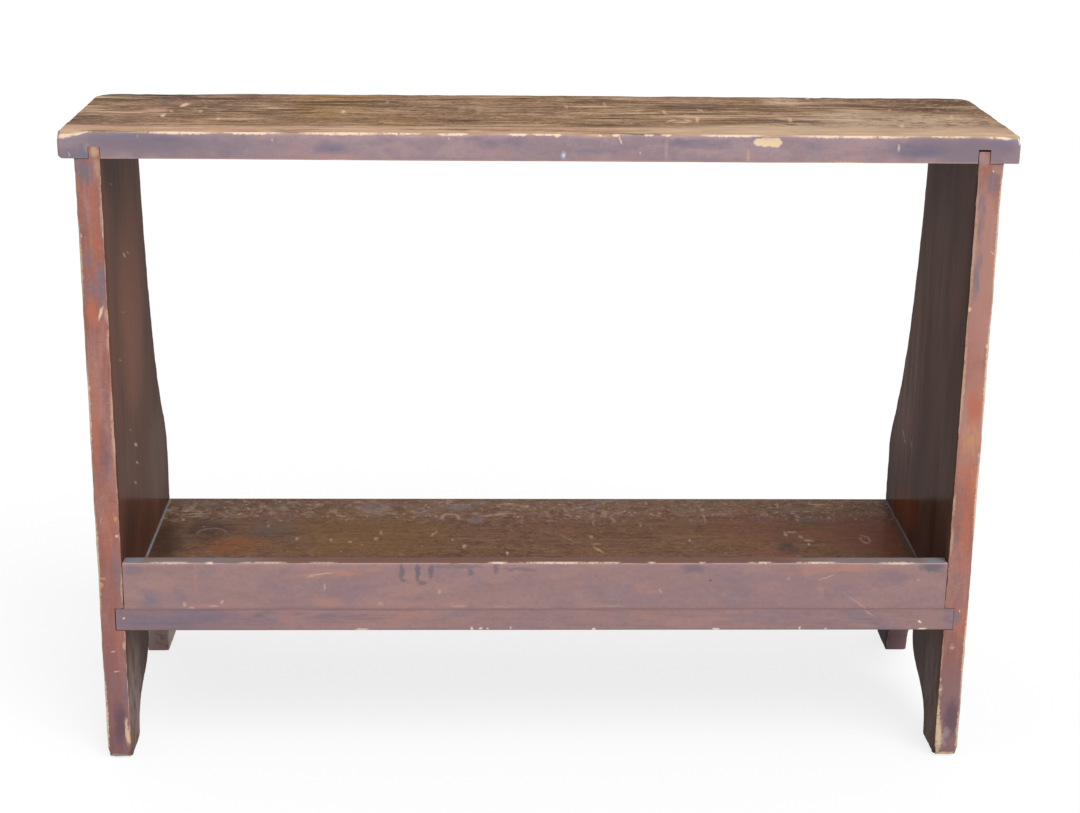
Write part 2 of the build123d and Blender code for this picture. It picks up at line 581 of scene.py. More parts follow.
@dataclass(frozen=True)
class Rings(Pattern):
    """Growth rings of a flat-sawn board: shells round a pith line below the board."""

    spacing: float  # mm between two dark late-wood lines
    pith: Corner  # a point on the pith line
    grain: Grain = Grain.ALONG_BENCH
    taper: float = 0.03  # how fast the shells close along the grain
    wander: float = 6.0  # mm
    bend_length: float = 400.0  # mm, how far a bend in the rings runs along the grain
    bend_width: float = 50.0  # mm
    start: float = 0.55
    full: float = 0.95

    def paint(self, canvas: Canvas) -> Socket:
        """Measure the distance to the pith line and fold it into rings.

        Args:
            canvas: the material.

        Returns:
            1 on a late-wood line.
        """
        scale = [1.0] * 3
        scale[self.grain.value] = self.taper
        centre = [-part * factor * MM for part, factor in zip(self.pith, scale)]
        place = canvas.add("Mapping", {"Vector": canvas.place, "Location": centre, "Scale": scale})
        radius = canvas.add("VectorMath", {0: place}, "Value", operation="LENGTH")
        stretch = [1 / (self.bend_width * MM)] * 3
        stretch[self.grain.value] = 1 / (self.bend_length * MM)
        bend = canvas.add("Mapping", {"Vector": canvas.place, "Scale": stretch})
        noise = canvas.add("TexNoise", {"Vector": bend, "Scale": 1.0, "Detail": 3.0})
        shake = {0: noise, 1: 4 * self.wander * MM, 2: radius}
        shaken = canvas.add("Math", shake, operation="MULTIPLY_ADD")
        turns = canvas.add("Math", {0: shaken, 1: 1 / (self.spacing * MM)}, operation="MULTIPLY")
        saw = canvas.add("Math", {0: turns}, operation="FRACT")
        return canvas.rise(saw, self.start, self.full)


@dataclass(frozen=True)
class Band(Pattern):
    """A stretch between two places on one axis, with soft ends."""

    axis: int
    low: float  # mm
    high: float  # mm
    soft: float = 10.0  # mm

    def paint(self, canvas: Canvas) -> Socket:
        """Rise at one place and fall at the other.

        Args:
            canvas: the material.

        Returns:
            1 inside the stretch.
        """
        value, soft = canvas.parts[self.axis], self.soft * MM / 2
        rise = canvas.rise(value, self.low * MM - soft, self.low * MM + soft)
        fall = canvas.rise(value, self.high * MM + soft, self.high * MM - soft)
        return canvas.add("Math", {0: rise, 1: fall}, operation="MULTIPLY")


@dataclass(frozen=True)
class WornArris(Pattern):
    """Patches along the arrises where the finish is rubbed through."""

    reach: float = 4.0  # mm from the arris where the wear is heaviest
    start: float = 0.4  # noise level under which the arris is whole
    patch: float = 22.0  # mm, length of a patch
    seed: float = 0.0
    shift: ClassVar[Corner] = (1.7, 2.3, 0.9)

    def paint(self, canvas: Canvas) -> Socket:
        """Let noise say how far from the arris the wear reaches.

        Args:
            canvas: the material.

        Returns:
            1 where the finish is gone.
        """
        moved = {"Vector": canvas.place, "Location": self.moved(self.seed)}
        place = canvas.add("Mapping", moved)
        settings = {"Scale": 1 / (self.patch * MM), "Detail": 4.0, "Roughness": 0.65}
        noise = canvas.add("TexNoise", {"Vector": place, **settings})
        slope = self.reach / (0.75 - self.start)
        spread = {0: noise, 1: slope, 2: -self.start * slope}
        extent = canvas.add("Math", spread, operation="MULTIPLY_ADD")
        margin = canvas.add("Math", {0: extent, 1: canvas.arris}, operation="SUBTRACT")
        return canvas.rise(margin, 0.0, 0.7)


@dataclass(frozen=True)
class NearArris(Pattern):
    """An even darkening or fading towards the arrises."""

    reach: float  # mm

    def paint(self, canvas: Canvas) -> Socket:
        """Fall from 1 at the arris to 0 at the reach."""
        return canvas.rise(canvas.arris, self.reach, 0.0)


@dataclass(frozen=True)
class Specks(Pattern):
    """Scattered small spots."""

    spacing: float  # mm
    radius: float  # mm
    share: float = 0.4  # share of the places that hold a spot
    seed: float = 0.0
    shift: ClassVar[Corner] = (3.7, 1.3, 2.1)

    def paint(self, canvas: Canvas) -> Socket:
        """Put a spot in some of the cells of a Voronoi pattern.

        Args:
            canvas: the material.

        Returns:
            1 in a spot.
        """
        moved = {"Vector": canvas.paint(Ragged(0.4, 2.0)), "Location": self.moved(self.seed)}
        settings = {"Vector": canvas.add("Mapping", moved), "Scale": 1 / (self.spacing * MM)}
        cells = add_node(canvas.tree, "TexVoronoi", settings).outputs
        reach = self.radius / self.spacing
        spot = canvas.rise(cells["Distance"], reach, reach * 0.5)
        chance = canvas.add("SeparateColor", {0: cells["Color"]})
        kept = canvas.add("Math", {0: chance, 1: self.share}, operation="LESS_THAN")
        return canvas.add("Math", {0: spot, 1: kept}, operation="MULTIPLY")


@dataclass(frozen=True)
class Mark:
    """One long or round mark on a flat side, in millimetres and degrees."""

    across: float
    up: float
    length: float
    width: float
    strength: float = 1.0
    turn: float = 0.0


@dataclass(frozen=True)
class Marks(Pattern):
    """Marks at their own places on one side of a board."""

    side: Side
    level: float  # where that side is along the axis it faces, mm
    marks: tuple[Mark, ...]
    core: float  # share of a mark's size that is at full strength
    ragged: Ragged  # how their outlines break up
    hollow: float  # share of a mark's size that stays clear in its middle
    fade: float  # how early a mark thins out towards its outline
    depth: float = 4.0  # mm that the marks reach into the board

    def offset(self, canvas: Canvas, place: Socket, mark: Mark) -> Socket:
        """Measure how far a point is from the middle of a mark.

        Args:
            canvas: the material.
            place: the point.
            mark: the mark.

        Returns:
            The squared distance, in half lengths and half widths of the mark.
        """
        _, across, up = self.side.value
        middle, size = [0.0] * 3, [0.0] * 3
        middle[across], middle[up] = mark.across * MM, mark.up * MM
        size[across], size[up] = 2 / (mark.length * MM), 2 / (mark.width * MM)
        if not mark.turn:
            scaled = {0: place, 1: size, 2: [-part * factor for part, factor in zip(middle, size)]}
            local = canvas.add("VectorMath", scaled, operation="MULTIPLY_ADD")
            return canvas.add("VectorMath", {0: local, 1: local}, "Value", operation="DOT_PRODUCT")
        cosine, sine = math.cos(math.radians(mark.turn)), math.sin(math.radians(mark.turn))
        along, aside = [0.0] * 3, [0.0] * 3
        along[across], along[up] = cosine * size[across], sine * size[across]
        aside[across], aside[up] = -sine * size[up], cosine * size[up]
        local = canvas.add("VectorMath", {0: place, 1: middle}, operation="SUBTRACT")
        lengthwise, widthwise = (
            canvas.add("VectorMath", {0: local, 1: axis}, "Value", operation="DOT_PRODUCT")
            for axis in (along, aside)
        )
        square = canvas.add("Math", {0: lengthwise, 1: lengthwise}, operation="MULTIPLY")
        squares = {0: widthwise, 1: widthwise, 2: square}
        return canvas.add("Math", squares, operation="MULTIPLY_ADD")

    def paint(self, canvas: Canvas) -> Socket:
        """Add one soft-edged ellipse for each mark, near the side only.

        Args:
            canvas: the material.

        Returns:
            The strongest mark at a point.
        """
        place = canvas.paint(self.ragged)
        total: Socket | None = None
        for mark in self.marks:
            offset = self.offset(canvas, place, mark)
            amount = canvas.rise(offset, 1.0, self.core**2, mark.strength)
            if self.hollow:
                rim = canvas.rise(offset, self.hollow**2, self.core**2)
                amount = canvas.add("Math", {0: amount, 1: rim}, operation="MULTIPLY")
            if total:
                amount = canvas.add("Math", {0: total, 1: amount}, operation="MAXIMUM")
            total = amount
        if self.fade != 1.0:
            total = canvas.add("Math", {0: total, 1: self.fade}, operation="POWER")
        near = Band(self.side.value[0], self.level - self.depth, self.level + self.depth, 1.0)
        return canvas.add("Math", {0: total, 1: canvas.paint(near)}, operation="MULTIPLY")


SOFT = Ragged(8.0, 40.0)  # outlines of broad faded zones
CLOUDED = Ragged(2.5, 12.0)  # outlines of stains
CHIPPED = Ragged(0.9, 4.0)  # outlines of chips and scratches
WAVY = Ragged(1.0, 5.0)  # other outlines


@dataclass(frozen=True)
class Surface:
    """A flat side of a board to lay marks on, and where it is along the axis it faces, in mm."""

    side: Side
    level: float

    def marks(
        self,
        *rows: tuple[float, ...],
        core: float = 0.3,
        ragged: Ragged = WAVY,
        hollow: float = 0.0,
        fade: float = 1.0,
    ) -> Marks:
        """Lay out marks.

        Args:
            rows: for each mark the values of Mark, in order.
            core: share of a mark's size that is at full strength.
            ragged: how their outlines break up.
            hollow: share of a mark's size that stays clear, for rings.
            fade: how early they thin out towards their outlines.

        Returns:
            The pattern.
        """
        drawn = tuple(Mark(*row) for row in rows)
        return Marks(self.side, self.level, drawn, core, ragged, hollow, fade)

    def stains(self, *rows: tuple[float, ...]) -> Marks:
        """Stains with soft outlines, given like marks."""
        return self.marks(*rows, core=0.0, ragged=CLOUDED, fade=1.5)

    def zones(self, *rows: tuple[float, ...]) -> Marks:
        """Broad zones that melt into the board, given like marks."""
        return self.marks(*rows, core=0.0, ragged=SOFT, fade=1.5)


@dataclass(frozen=True)
class Coat:
    """One layer of colour, laid where all its patterns meet."""

    colour: str
    strength: float
    where: tuple[Pattern, ...]
    roughness: float | None  # None keeps what is under it
    relief: float  # mm that the layer stands up, or lies in where negative


def coat(
    colour: str,
    strength: float,
    *where: Pattern,
    roughness: float | None = None,
    relief: float = 0.0,
) -> Coat:
    """Mix a coat from its colour, its strength and the patterns where it lies."""
    return Coat(colour, strength, where, roughness, relief)


def mottled(light: str, dark: str, size: float, strength: float, seed: float) -> tuple[Coat, ...]:
    """Uneven stain: small clouds of a lighter and of a darker colour.

    Args:
        light: the lighter colour.
        dark: the darker colour.
        size: of the clouds, in millimetres.
        strength: of both colours.
        seed: which clouds.

    Returns:
        The coats.
    """
    return tuple(
        coat(colour, strength, Streaks(size, size * 0.8, 0.5, 0.68, place, 0.8, detail=4))
        for colour, place in ((light, seed), (dark, seed + 0.5))
    )


@dataclass(frozen=True)
class StainedPine:
    """Planed pine board under an old stain: satin, with soft grain under it."""

    name: str
    base: str
    coats: tuple[Coat, ...]
    roughness: float = 0.5
    shine: float = 0.2  # specular level: dry old wood gives back less than a new surface
    varnish: float = 0.0  # weight of the clear coat over it
    varnish_roughness: float = 0.2

    def material(self) -> bpy.types.Material:
        """Build the material, coat by coat.

        Returns:
            The material.
        """
        canvas = Canvas(self.name)
        colour: Socket | tuple[float, ...] = linear(self.base)
        rough: Socket | float = self.roughness
        height: Socket | None = None
        for layer in self.coats:
            amount: Socket | float = layer.strength
            for pattern in layer.where:
                share = canvas.paint(pattern)
                amount = canvas.add("Math", {0: share, 1: amount}, operation="MULTIPLY")
            colours = {"Factor": amount, 6: colour, 7: linear(layer.colour)}
            colour = canvas.add("Mix", colours, 2, data_type="RGBA")
            if layer.roughness is not None:
                rough = canvas.add("Mix", {"Factor": amount, 2: rough, 3: layer.roughness})
            if layer.relief:
                lift = {0: amount, 1: layer.relief * MM, 2: height or 0.0}
                height = canvas.add("Math", lift, operation="MULTIPLY_ADD")
        inputs = {
            "Base Color": colour,
            "Roughness": rough,
            "IOR": 1.5,
            "Specular IOR Level": self.shine,
            "Coat Weight": self.varnish,
            "Coat Roughness": self.varnish_roughness,
        }
        return canvas.close(inputs, height)


@dataclass(frozen=True)
class EdgePine(StainedPine):
    """Edge of a board, where the stain soaked in and handling has polished it a little."""

    roughness: float = 0.45
    shine: float = 0.15


@dataclass(frozen=True)
class WroughtIron:
    """Cut nail of wrought iron, rusted brown: dull, with a dark scale left in the pits."""

    name: str = "cut_nail_rusted_iron"
    rust: str = "#5b3a2a"
    scale: str = "#2c2421"
    grain: float = 2.5  # mm, size of the rust spots
    depth: float = 0.3  # mm, depth of the pits

    def material(self) -> bpy.types.Material:
        """Build the material.

        Returns:
            The material.
        """
        canvas = Canvas(self.name)
        spots = {"Vector": canvas.place, "Scale": 1 / (self.grain * MM), "Detail": 4.0}
        noise = canvas.add("TexNoise", spots)
        amount = canvas.rise(noise, 0.4, 0.62)
        colours = {"Factor": amount, 6: linear(self.scale), 7: linear(self.rust)}
        inputs = {
            "Base Color": canvas.add("Mix", colours, 2, data_type="RGBA"),
            "Roughness": canvas.add("Mix", {"Factor": amount, 2: 0.45, 3: 0.85}),
            "Metallic": canvas.add("Mix", {"Factor": amount, 2: 0.9, 3: 0.1}),
        }
        height = canvas.add("Math", {0: noise, 1: self.depth * MM}, operation="MULTIPLY")
        return canvas.close(inputs, height)


UP = Grain.UPRIGHT
BARE = "#d6b092"  # bare pine, yellowed, wherever the finish is rubbed through

TOP_FACE = Surface(Side.UPPER, 744.0)
SHELF_FACE = Surface(Side.UPPER, 191.5)
RAIL_TOP = Surface(Side.UPPER, 248.5)
FRONT = Surface(Side.FRONT, -185.0)
ROUND_CORNER = Surface(Side.FRONT, -183.0)  # where the front turns into the ends
LEFT_INSIDE = Surface(Side.END, -474.1)
RIGHT_INSIDE = Surface(Side.END, 474.1)

# Bare line along the top's front arris, shared by its face and edge; painted highlight on the right
# corner.
UPPER_ARRIS = (
    coat("#c9a28a", 0.7, NearArris(2.6), Streaks(60, 60, 0.36, 0.5, seed=15, detail=3),
        roughness=0.65),
    coat("#f0d3b8", 0.9, FRONT.marks(
        (-388, 743.4, 92, 6), (-312, 743.4, 80, 5), (-218, 743.4, 110, 5.4), (-150, 743.6, 60, 4),
        (-104, 743, 22, 4.6), (-90, 743, 24, 4.6), (-26, 743.2, 28, 4.4), (2, 743.3, 32, 4),
        (16, 743, 10, 6), (62, 743.2, 4, 5), (79, 743.2, 10, 6), (115, 743.4, 14, 4),
        (134, 743.6, 14, 3.6), (205, 743.6, 80, 5), (340, 743.4, 160, 6), (440, 743.8, 60, 4),
        (500, 743.4, 44, 7), core=0.4, ragged=CHIPPED),
        Streaks(7, 60, 0.28, 0.5, seed=16, detail=4), roughness=0.65),
    coat("#e9cdb0", 0.95, FRONT.marks(
        (-512, 740.5, 24, 11), (-500, 742, 44, 7, 1, 10), core=0.6, ragged=CHIPPED),
        Streaks(9, 9, 0.28, 0.44, seed=17, detail=4), roughness=0.65),
    # A painted highlight on the rounded right front corner.
    coat("#f0dcc0", 0.8, ROUND_CORNER.marks((517.6, 741, 4, 15), core=0.6, ragged=CHIPPED),
        roughness=0.65),
)  # fmt: skip
TOP_FRONT = Band(Y, -190, -146, 30)  # the strip behind the top's front edge


@dataclass(frozen=True)
class WornTopPine(StainedPine):
    """Pine worn nearly bare by use: matt tan wood with the last stain in its grain."""

    name: str = "pine_worn_through_stain"
    base: str = "#8d6d52"
    roughness: float = 0.75
    shine: float = 0.1
    coats: tuple[Coat, ...] = (
        coat("#ab8b6e", 0.7, Streaks(90, 34, 0.45, 0.6, seed=1, warp=0.6)),
        coat("#684a37", 0.7, Streaks(80, 26, 0.5, 0.62, seed=2, warp=0.6)),
        coat("#946a5c", 0.45, Streaks(110, 40, 0.52, 0.64, seed=3, warp=0.4, detail=3)),
        coat("#80694f", 0.3, Streaks(130, 60, 0.54, 0.66, seed=4, detail=3)),
        coat("#5d4434", 0.2, Rings(13, (0, -60, 640))),
        coat("#54443a", 0.85, TOP_FACE.zones(
            (-450, 50, 300, 140), (-370, -10, 120, 130, 0.9), (-430, 62, 260, 64, 0.9),
            (-130, 0, 130, 130, 0.7), (-85, -55, 80, 50, 0.5), (500, 50, 110, 80, 0.7))),
        coat("#4f382e", 0.9, TOP_FACE.zones(
            (480, 40, 190, 170), (360, 14, 110, 50), (452, -12, 90, 70), (400, 66, 300, 30),
            (310, -55, 90, 60, 0.6), (500, -10, 60, 80, 0.6))),
        coat("#a57f4a", 0.65, TOP_FACE.zones(
            (-242, -10, 120, 260), (-228, 55, 120, 80), (-170, -110, 80, 150, 0.6))),
        coat("#6f5142", 0.4, TOP_FACE.zones((-480, -110, 170, 90), (-420, -40, 90, 50, 0.6))),
        coat("#967470", 0.5, TOP_FACE.zones(
            (-480, -100, 180, 190, 0.7), (-425, 14, 130, 50, 0.8), (-300, 40, 80, 80, 0.5))),
        coat("#bda48e", 0.85, TOP_FACE.zones(
            (400, -95, 340, 170), (290, 38, 80, 80), (450, -85, 100, 70), (365, -55, 160, 110),
            (272, -122, 130, 80, 0.9), (345, 30, 120, 40, 0.6))),
        coat("#7a5836", 0.6, TOP_FACE.stains(
            (235, 0, 110, 44), (140, -20, 80, 50, 0.8), (225, -60, 100, 30),
            (180, -122, 180, 22, 1, 3), (90, 30, 80, 30, 0.7), (-135, -25, 60, 60, 0.6),
            (-300, -30, 80, 60, 0.6))),
        coat("#64473c", 0.8, TOP_FACE.stains(
            (-375, -45, 70, 40, 0.9), (-425, -8, 50, 30, 0.7), (-148, -22, 60, 40, 0.9),
            (-330, -20, 60, 50, 0.5), (362, 12, 70, 34), (455, -5, 50, 50, 0.8),
            (318, -80, 50, 24, 0.5), (465, 60, 130, 60), (-350, 40, 90, 40, 0.6)),
            Streaks(40, 24, 0.28, 0.6, seed=6, warp=0.8)),
        coat("#c09f80", 0.7, TOP_FACE.stains(
            (180, 18, 240, 13, 1, 2), (110, -48, 190, 16, 0.8, 2), (-20, 0, 150, 14, 0.8, 8),
            (-60, -25, 80, 34, 0.7), (-15, -56, 70, 22), (-130, 24, 90, 26, 0.8),
            (90, 14, 80, 30, 0.5), (285, 45, 50, 50, 0.6), (280, -85, 26, 60, 0.8),
            (460, -85, 70, 44, 0.7), (350, -40, 90, 20, 0.5))),
        *mottled("#b59472", "#644433", 15, 0.62, 81),
        *mottled("#c7a682", "#523829", 6, 0.42, 84),
        coat("#4a3327", 0.85, Streaks(140, 14, 0.46, 0.62, seed=8, warp=0.8),
            Streaks(220, 60, 0.4, 0.58, seed=75, warp=0.8, detail=4)),
        coat("#d2b090", 0.8, Streaks(120, 11, 0.48, 0.62, seed=11, warp=0.8),
            Streaks(180, 50, 0.42, 0.6, seed=76, warp=0.8, detail=4)),
        coat("#4f392c", 0.45, Streaks(46, 2.6, 0.52, 0.68, seed=5), relief=-0.12),
        coat("#c49f84", 0.75, TOP_FRONT, Streaks(160, 20, 0.3, 0.52, seed=7, detail=3)),
        coat("#c4a98c", 0.6, Band(Y, -190, -128, 30), Band(X, 120, 700, 120)),
        coat("#d8b699", 0.6, TOP_FRONT, Streaks(50, 9, 0.52, 0.64, seed=9, detail=3)),
        coat("#a8806f", 0.5, TOP_FRONT, Streaks(60, 10, 0.52, 0.66, seed=10, detail=3)),
        coat("#c49a88", 0.7, TOP_FACE.marks(
            (-435, -45, 40, 34), (-425, -68, 40, 12, 0.8), (-456, -58, 30, 10, 0.5),
            (-404, -6, 26, 8, 1, 70), (-366, -40, 24, 26, 0.4), (-386, -48, 30, 8, 0.6, 20),
            (-360, -74, 70, 5, 0.6, 2), (-330, -78, 60, 5, 0.5, 2), (158, -98, 34, 30, 0.5),
            (275, -74, 20, 34, 0.5), (-88, -25, 12, 60, 0.4), (-68, -30, 10, 60, 0.4), core=0.1,
            ragged=CLOUDED)),
        coat("#e0c3aa", 0.75, TOP_FACE.marks(
            (-407, -8, 10, 38, 1, -6), (-421, -80, 8, 26, 1, 4), (-416, -50, 6, 22, 0.5, 12),
            (-383, -50, 6, 26, 0.5, 8), (-357, -98, 6, 20, 0.7, 8), (-222, -47, 6, 28, 0.8, 4),
            (-348, -76, 60, 2.5, 0.4), (-175, 20, 5, 30, 0.3), (325, 72, 8, 30, 0.8, -6),
            (144, -36, 6, 40, 0.5), (147, -92, 24, 8, 0.6, 60), (158, -106, 22, 9, 0.6),
            (166, -92, 22, 8, 0.6, -70), (177, -85, 6, 44, 0.7, -6), (282, -82, 6, 44, 0.6, -6),
            (470, -60, 5, 26, 0.6, -8), (402, -118, 7, 32, 0.6, -12), (510, -58, 5, 14, 0.4),
            (33, -5, 6, 32, 0.4), (78, 10, 5, 60, 0.3), (186, -22, 7, 30, 0.4, 12),
            (408, -12, 5, 30, 0.3, -14), core=0.1, ragged=CHIPPED), relief=-0.2),
        coat("#3c2b22", 0.5, Specks(26, 1.3, 0.35, 1)),
        coat("#d8ba9c", 0.5, Specks(17, 1.2, 0.4, 5)),
        coat(BARE, 0.85, WornArris(3, 0.42, 26, 1), roughness=0.65),
        *UPPER_ARRIS,
    )  # fmt: skip


@dataclass(frozen=True)
class TopEdgePine(EdgePine):
    """Edges of the top: old stain with peach stains; its mauve and blue-grey are partly stain,
    partly painted sky reflection.
    """

    name: str = "pine_edge_stain_and_painted_sheen"
    # Painted reflection: the mauve base and the mauve and blue-grey coats below mix a painted
    # reflection of the pale sky in the sheen into the stain.
    base: str = "#9c858b"
    coats: tuple[Coat, ...] = (
        coat("#b19698", 0.6, Streaks(90, 34, 0.44, 0.62, seed=12, warp=0.6)),
        coat("#847c8a", 0.5, Streaks(80, 22, 0.5, 0.66, seed=13, warp=0.6)),
        *mottled("#b39a98", "#87757e", 9, 0.3, 91),
        # Mauve-grey and blue stains: partly stain, partly a painted reflection of the sky in the
        # sheen.
        coat("#827480", 0.85, FRONT.zones(
            (-430, 730, 260, 50), (445, 730, 230, 50), (-500, 722, 60, 40), (503, 734, 60, 36))),
        coat("#6a7389", 0.8, FRONT.stains(
            (-492, 722, 14, 40), (-448, 741, 60, 9), (-506, 728, 20, 26, 0.6),
            (505, 735, 34, 22, 0.7)), Streaks(40, 14, 0.36, 0.62, seed=18, warp=0.8)),
        coat("#736c82", 0.7, FRONT.stains(
            (-228, 727, 54, 26, 0.9), (-60, 732, 38, 15), (-30, 736, 34, 12, 0.8),
            (72, 728, 100, 11, 1, 4), (166, 734, 100, 16), (412, 728, 90, 18),
            (-76, 739, 34, 7, 0.8), (-166, 738, 34, 9, 0.8), (-400, 736, 60, 9, 0.8)),
            Streaks(50, 12, 0.26, 0.62, seed=19, warp=0.6, detail=4)),
        coat("#b98f88", 0.65, FRONT.stains(
            (-222, 717, 80, 14), (-75, 722, 100, 24, 0.9), (70, 716, 110, 12, 0.6),
            (-268, 719, 80, 20, 0.7), (340, 716, 150, 13, 0.9), (330, 732, 80, 26, 0.6),
            (393, 740, 14, 18), (-150, 728, 80, 16, 0.5), (240, 720, 120, 18, 0.5),
            (-380, 722, 90, 14, 0.5)), Streaks(50, 12, 0.36, 0.62, seed=20, warp=0.8)),
        coat("#c9a698", 0.6, FRONT.marks(
            (134, 728, 6, 34, 0.6), (223, 721, 5, 20), (-488, 726, 8, 14, 0.4), core=0.1,
            ragged=CHIPPED)),
        coat("#ecd3b8", 0.85, FRONT.marks(
            (84, 738, 11, 2.2, 1, -65), (106, 724, 3, 4, 0.5), (386, 731, 4, 10, 0.6),
            (-290, 736, 3, 5, 0.4), (-100, 738, 3, 4, 0.5), (-507, 719, 2, 8, 0.5),
            (-433, 739, 1.6, 6, 0.3), (-218, 714.5, 34, 3, 0.5), (330, 714.5, 50, 3),
            ragged=CHIPPED), roughness=0.6, relief=-0.15),
        coat("#eed3ae", 0.95, FRONT.marks(
            (243, 738, 33, 8), (237, 736, 20, 8), (252, 736, 16, 12), (243, 735, 22, 8), core=0.7,
            ragged=CHIPPED), roughness=0.6, relief=-0.3),
        coat("#dcb096", 0.6, FRONT.marks((244, 741, 16, 5), core=0.2, ragged=CHIPPED)),
        # A painted glint on the top's front edge, and a painted bluish halo round it.
        coat("#e8f0ff", 0.9, FRONT.marks((23, 721, 3, 5), core=0.5), roughness=0.2),
        coat("#b9c4da", 0.5, FRONT.marks((23, 721, 8, 12), core=0.1)),
        coat("#c7a593", 0.5, WornArris(1.6, 0.5, 20, 3), roughness=0.6),
        *UPPER_ARRIS,
    )  # fmt: skip


RIGHT_END = Band(X, 400, 600, 10)  # keeps a coat to the right-hand end board
BACK_FOOT = (Band(Y, 60, 172, 10), Band(Z, -50, 62, 50))  # front of a back foot, low down


